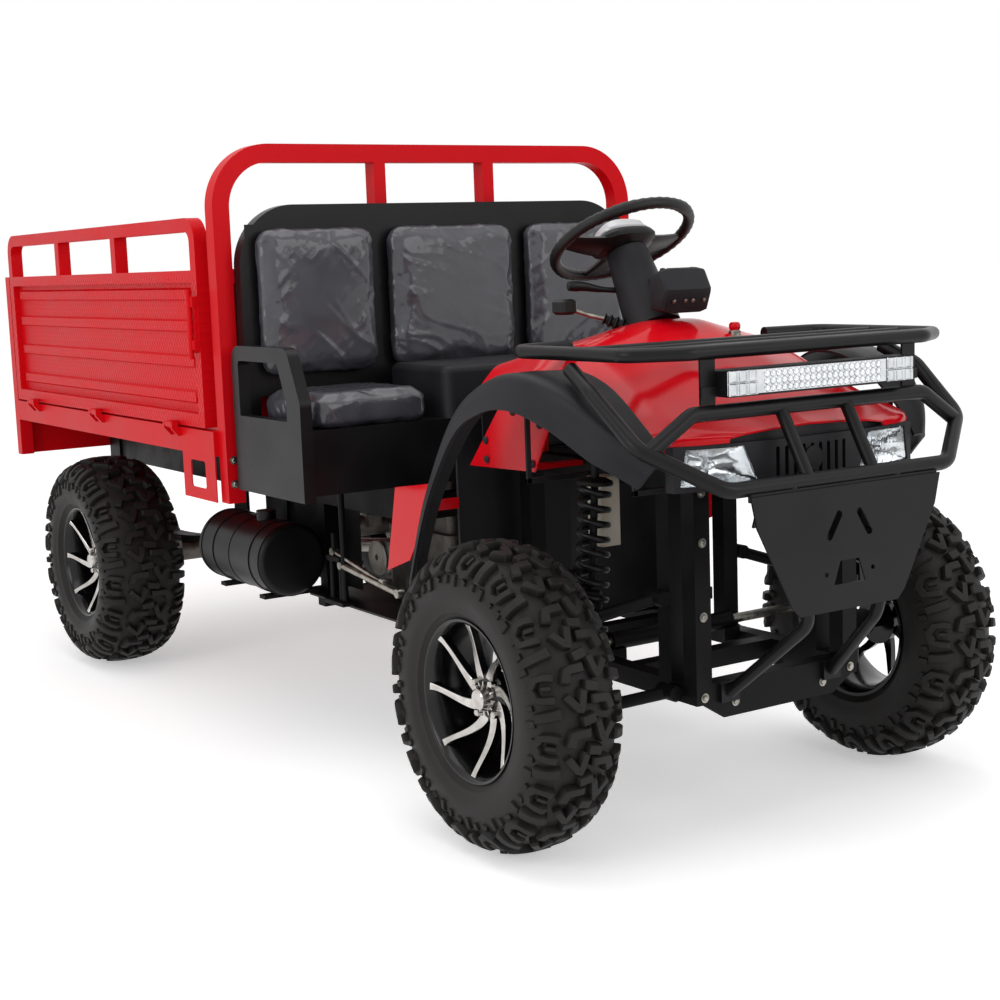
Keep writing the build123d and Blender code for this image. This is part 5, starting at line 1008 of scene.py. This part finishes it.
# Brake linkage under the seat: an upright, a yoke on two posts, a pulley and two rods, on the right
LINK_Y, LINK_FOOT_Z = -0.385, 0.345
post_table = [
    # x and top, then radius and sides of the bar
    (0.215, 0.663, 0.008, 16),
    (0.150, 0.455, 0.007, 14),
    (0.198, 0.455, 0.007, 14),
]
posts = []
for x, top, radius, sides in post_table:
    post_line = np.array([(x, LINK_Y, LINK_FOOT_Z), (x, LINK_Y, top)])
    posts.append(carried(post_line, circle(radius, sides), (1, 0, 0)))
yoke = [block((0.140, LINK_Y - 0.012, 0.448), (0.208, LINK_Y + 0.012, 0.462), 0.002)]
yoke.append(block((0.160, LINK_Y - 0.006, 0.455), (0.172, LINK_Y + 0.006, 0.520), 0.002))
foot = block((0.135, LINK_Y - 0.02, 0.338), (0.235, LINK_Y + 0.02, 0.350), 0.002)
piece("linkage_posts", [*posts, *yoke, foot], chassis_paint)
pulley_half = np.array([(0.008, -0.012), (0.042, -0.012), (0.045, -0.009), (0.036, 0)])
pulley_side = np.concatenate([pulley_half, pulley_half[-2::-1] * (1, -1)])
pulley = turned(pulley_side, 40)[..., [0, 2, 1]] + (0.318, -0.335, 0.470)
rod_lines = np.array(
    [
        [(0.165, LINK_Y, 0.470), (0.395, -0.372, 0.420)],
        [(0.205, LINK_Y, 0.440), (0.470, -0.372, 0.405)],
    ]
)
rods = [carried(line, circle(radius, 12)) for line, radius in zip(rod_lines, (0.006, 0.009))]
ends = turned([(0, -0.009), (0.011, -0.009), (0.013, 0), (0.011, 0.009), (0, 0.009)], 16)[..., [0, 2, 1]]
rod_ends = shape(ends + rod_lines.reshape(-1, 1, 1, 3), round_rows=True)
piece("linkage_rods", [*rods, rod_ends], zinc_plate)
pulley_shape = shape(pulley, round_rows=True, round_columns=True)
piece("linkage_pulley", [pulley_shape], cast_alloy)

# Tail lamps: upright ribs moulded on the lenses
lens_ribs = []
for y in np.linspace(0.480, 0.570, 7):
    lens_ribs.append(block((-1.589, y - 0.0035, 0.646), (-1.586, y + 0.0035, 0.694), 0.001))
piece("tail_lamp_ribs", mirrored(lens_ribs), red_lens)

# Drop-side latches: two guides, a sliding pin and its handle on each gate's front edge
latch = [
    block((-0.036, 0.645, 1.098), (0.000, 0.662, 1.126), 0.002),
    block((-0.036, 0.645, 0.992), (0.000, 0.662, 1.018), 0.002),
    block((-0.060, 0.655, 1.046), (-0.012, 0.663, 1.058), 0.002),
]
pin = turned(
    [(0, 0.970), (0.006, 0.970), (0.0065, 0.974), (0.0065, 1.140), (0.005, 1.143), (0, 1.143)], 18
)
latch.append(shape(pin + (-0.018, 0.662, 0), round_rows=True))
for side, hand in both_sides:
    hung = [(points * (1, hand, 1), faces) for points, faces in latch]
    piece(f"gate_latch_{side}", hung, red_powder, body=f"side_gate_{side}")

# Pressed sheet of the three gates: the red coat over a diamond pattern of EMBOSS_MM, below the rail
EMBOSS_MM = 14
EMBOSS_DEPTH = 0.0012
EMBOSS_LEAN = 35
# Heights between which the pattern fades out under the rail
FADE_FROM_Z, FADE_TO_Z = 1.165, 1.185
embossed_sheet = red_coat("embossed_powder_coated_steel")
tree = embossed_sheet.node_tree
place = add(tree, "ShaderNodeTexCoord", {}, {}).outputs["Object"]
# A wave texture's bands lie 2 pi / 20 apart at a scale of one
wave_scale = 2 * pi / (20 * EMBOSS_MM / 1000)
waves = []
for lean in (EMBOSS_LEAN, -EMBOSS_LEAN):
    leaning = add(tree, "ShaderNodeMapping", {"Rotation": (0, radians(lean), 0)}, {"Vector": place})
    wave = add(tree, "ShaderNodeTexWave", {"Scale": wave_scale}, {"Vector": leaning.outputs["Vector"]})
    waves.append(wave.outputs["Fac"])
diamond = add(tree, "ShaderNodeMath", {"operation": "MULTIPLY"}, {0: waves[0], 1: waves[1]}).outputs[0]
height = add(tree, "ShaderNodeSeparateXYZ", {}, {"Vector": place}).outputs["Z"]
fade = {"From Min": FADE_TO_Z, "From Max": FADE_FROM_Z, "To Min": 0.0, "To Max": 1.0}
on_sheet = add(tree, "ShaderNodeMapRange", fade, {"Value": height}).outputs["Result"]
pattern = add(tree, "ShaderNodeMath", {"operation": "MULTIPLY"}, {0: diamond, 1: on_sheet}).outputs[0]
shader = tree.nodes["Principled BSDF"]
grain = shader.inputs["Normal"].links[0].from_socket
press = {"Strength": 1.0, "Distance": EMBOSS_DEPTH}
pressed = add(tree, "ShaderNodeBump", press, {"Height": pattern, "Normal": grain})
tree.links.new(pressed.outputs["Normal"], shader.inputs["Normal"])
for name in ("side_gate_left", "side_gate_right", "tailgate"):
    nodes[name].data.materials[0] = embossed_sheet

# Studio: a pale floor, a white surround and three soft lamps
FLOOR_HALF = 60
floor_corners = [(x * FLOOR_HALF, y * FLOOR_HALF, 0) for x, y in ((-1, -1), (1, -1), (1, 1), (-1, 1))]
floor_mesh = bpy.data.meshes.new("studio_floor")
floor_mesh.from_pydata(floor_corners, [], [(0, 1, 2, 3)])
studio_floor = bpy.data.objects.new("studio_floor", floor_mesh)
scene.collection.objects.link(studio_floor)
floor_paper = finish("studio_paper", Base_Color=linear("f7f7f7"), Roughness=0.9)
floor_mesh.materials.append(floor_paper)
surround = bpy.data.worlds.new("studio_surround")
surround.use_nodes = True
scene.world = surround
# Strength of the surround's light on the vehicle, and of the floor's own glow as it is seen
LIGHT_LEVEL = 0.62
FLOOR_LIFT = 0.42


def seen_level(tree, lit, shown):
    """Value shown to the camera, to mirrors and through clear lenses, and lit for all other light."""
    path = add(tree, "ShaderNodeLightPath", {}, {}).outputs
    seen = path["Is Camera Ray"]
    for ray in ("Is Glossy Ray", "Is Transmission Ray"):
        seen = add(tree, "ShaderNodeMath", {"operation": "MAXIMUM"}, {0: seen, 1: path[ray]}).outputs[0]
    between = {"To Min": lit, "To Max": shown}
    return add(tree, "ShaderNodeMapRange", between, {"Value": seen}).outputs["Result"]


background = surround.node_tree.nodes["Background"]
background.inputs["Color"].default_value = (1, 1, 1, 1)
white = seen_level(surround.node_tree, LIGHT_LEVEL, 1.0)
surround.node_tree.links.new(white, background.inputs["Strength"])
paper = floor_paper.node_tree.nodes["Principled BSDF"]
paper.inputs["Emission Color"].default_value = (1, 1, 1, 1)
glow = seen_level(floor_paper.node_tree, 0.0, FLOOR_LIFT)
floor_paper.node_tree.links.new(glow, paper.inputs["Emission Strength"])
lamp_table = [
    # name, place, aimed at, size in m, power in W
    ("overhead", (0.5, -0.5, 4.6), (0, 0, 0.5), 4.0, 62),
    ("left_of_camera", (1.5, -5.0, 2.6), (0, 0, 0.7), 2.5, 54),
    ("right_of_camera", (5.0, 1.5, 2.4), (0.6, 0, 0.7), 2.5, 36),
]
for name, place, aim, size, power in lamp_table:
    lamp_data = bpy.data.lights.new(name, "AREA")
    lamp_data.size = size
    lamp_data.energy = power
    lamp = bpy.data.objects.new(name, lamp_data)
    lamp.location = place
    lamp.rotation_euler = (Vector(aim) - Vector(place)).to_track_quat("-Z", "Y").to_euler()
    scene.collection.objects.link(lamp)
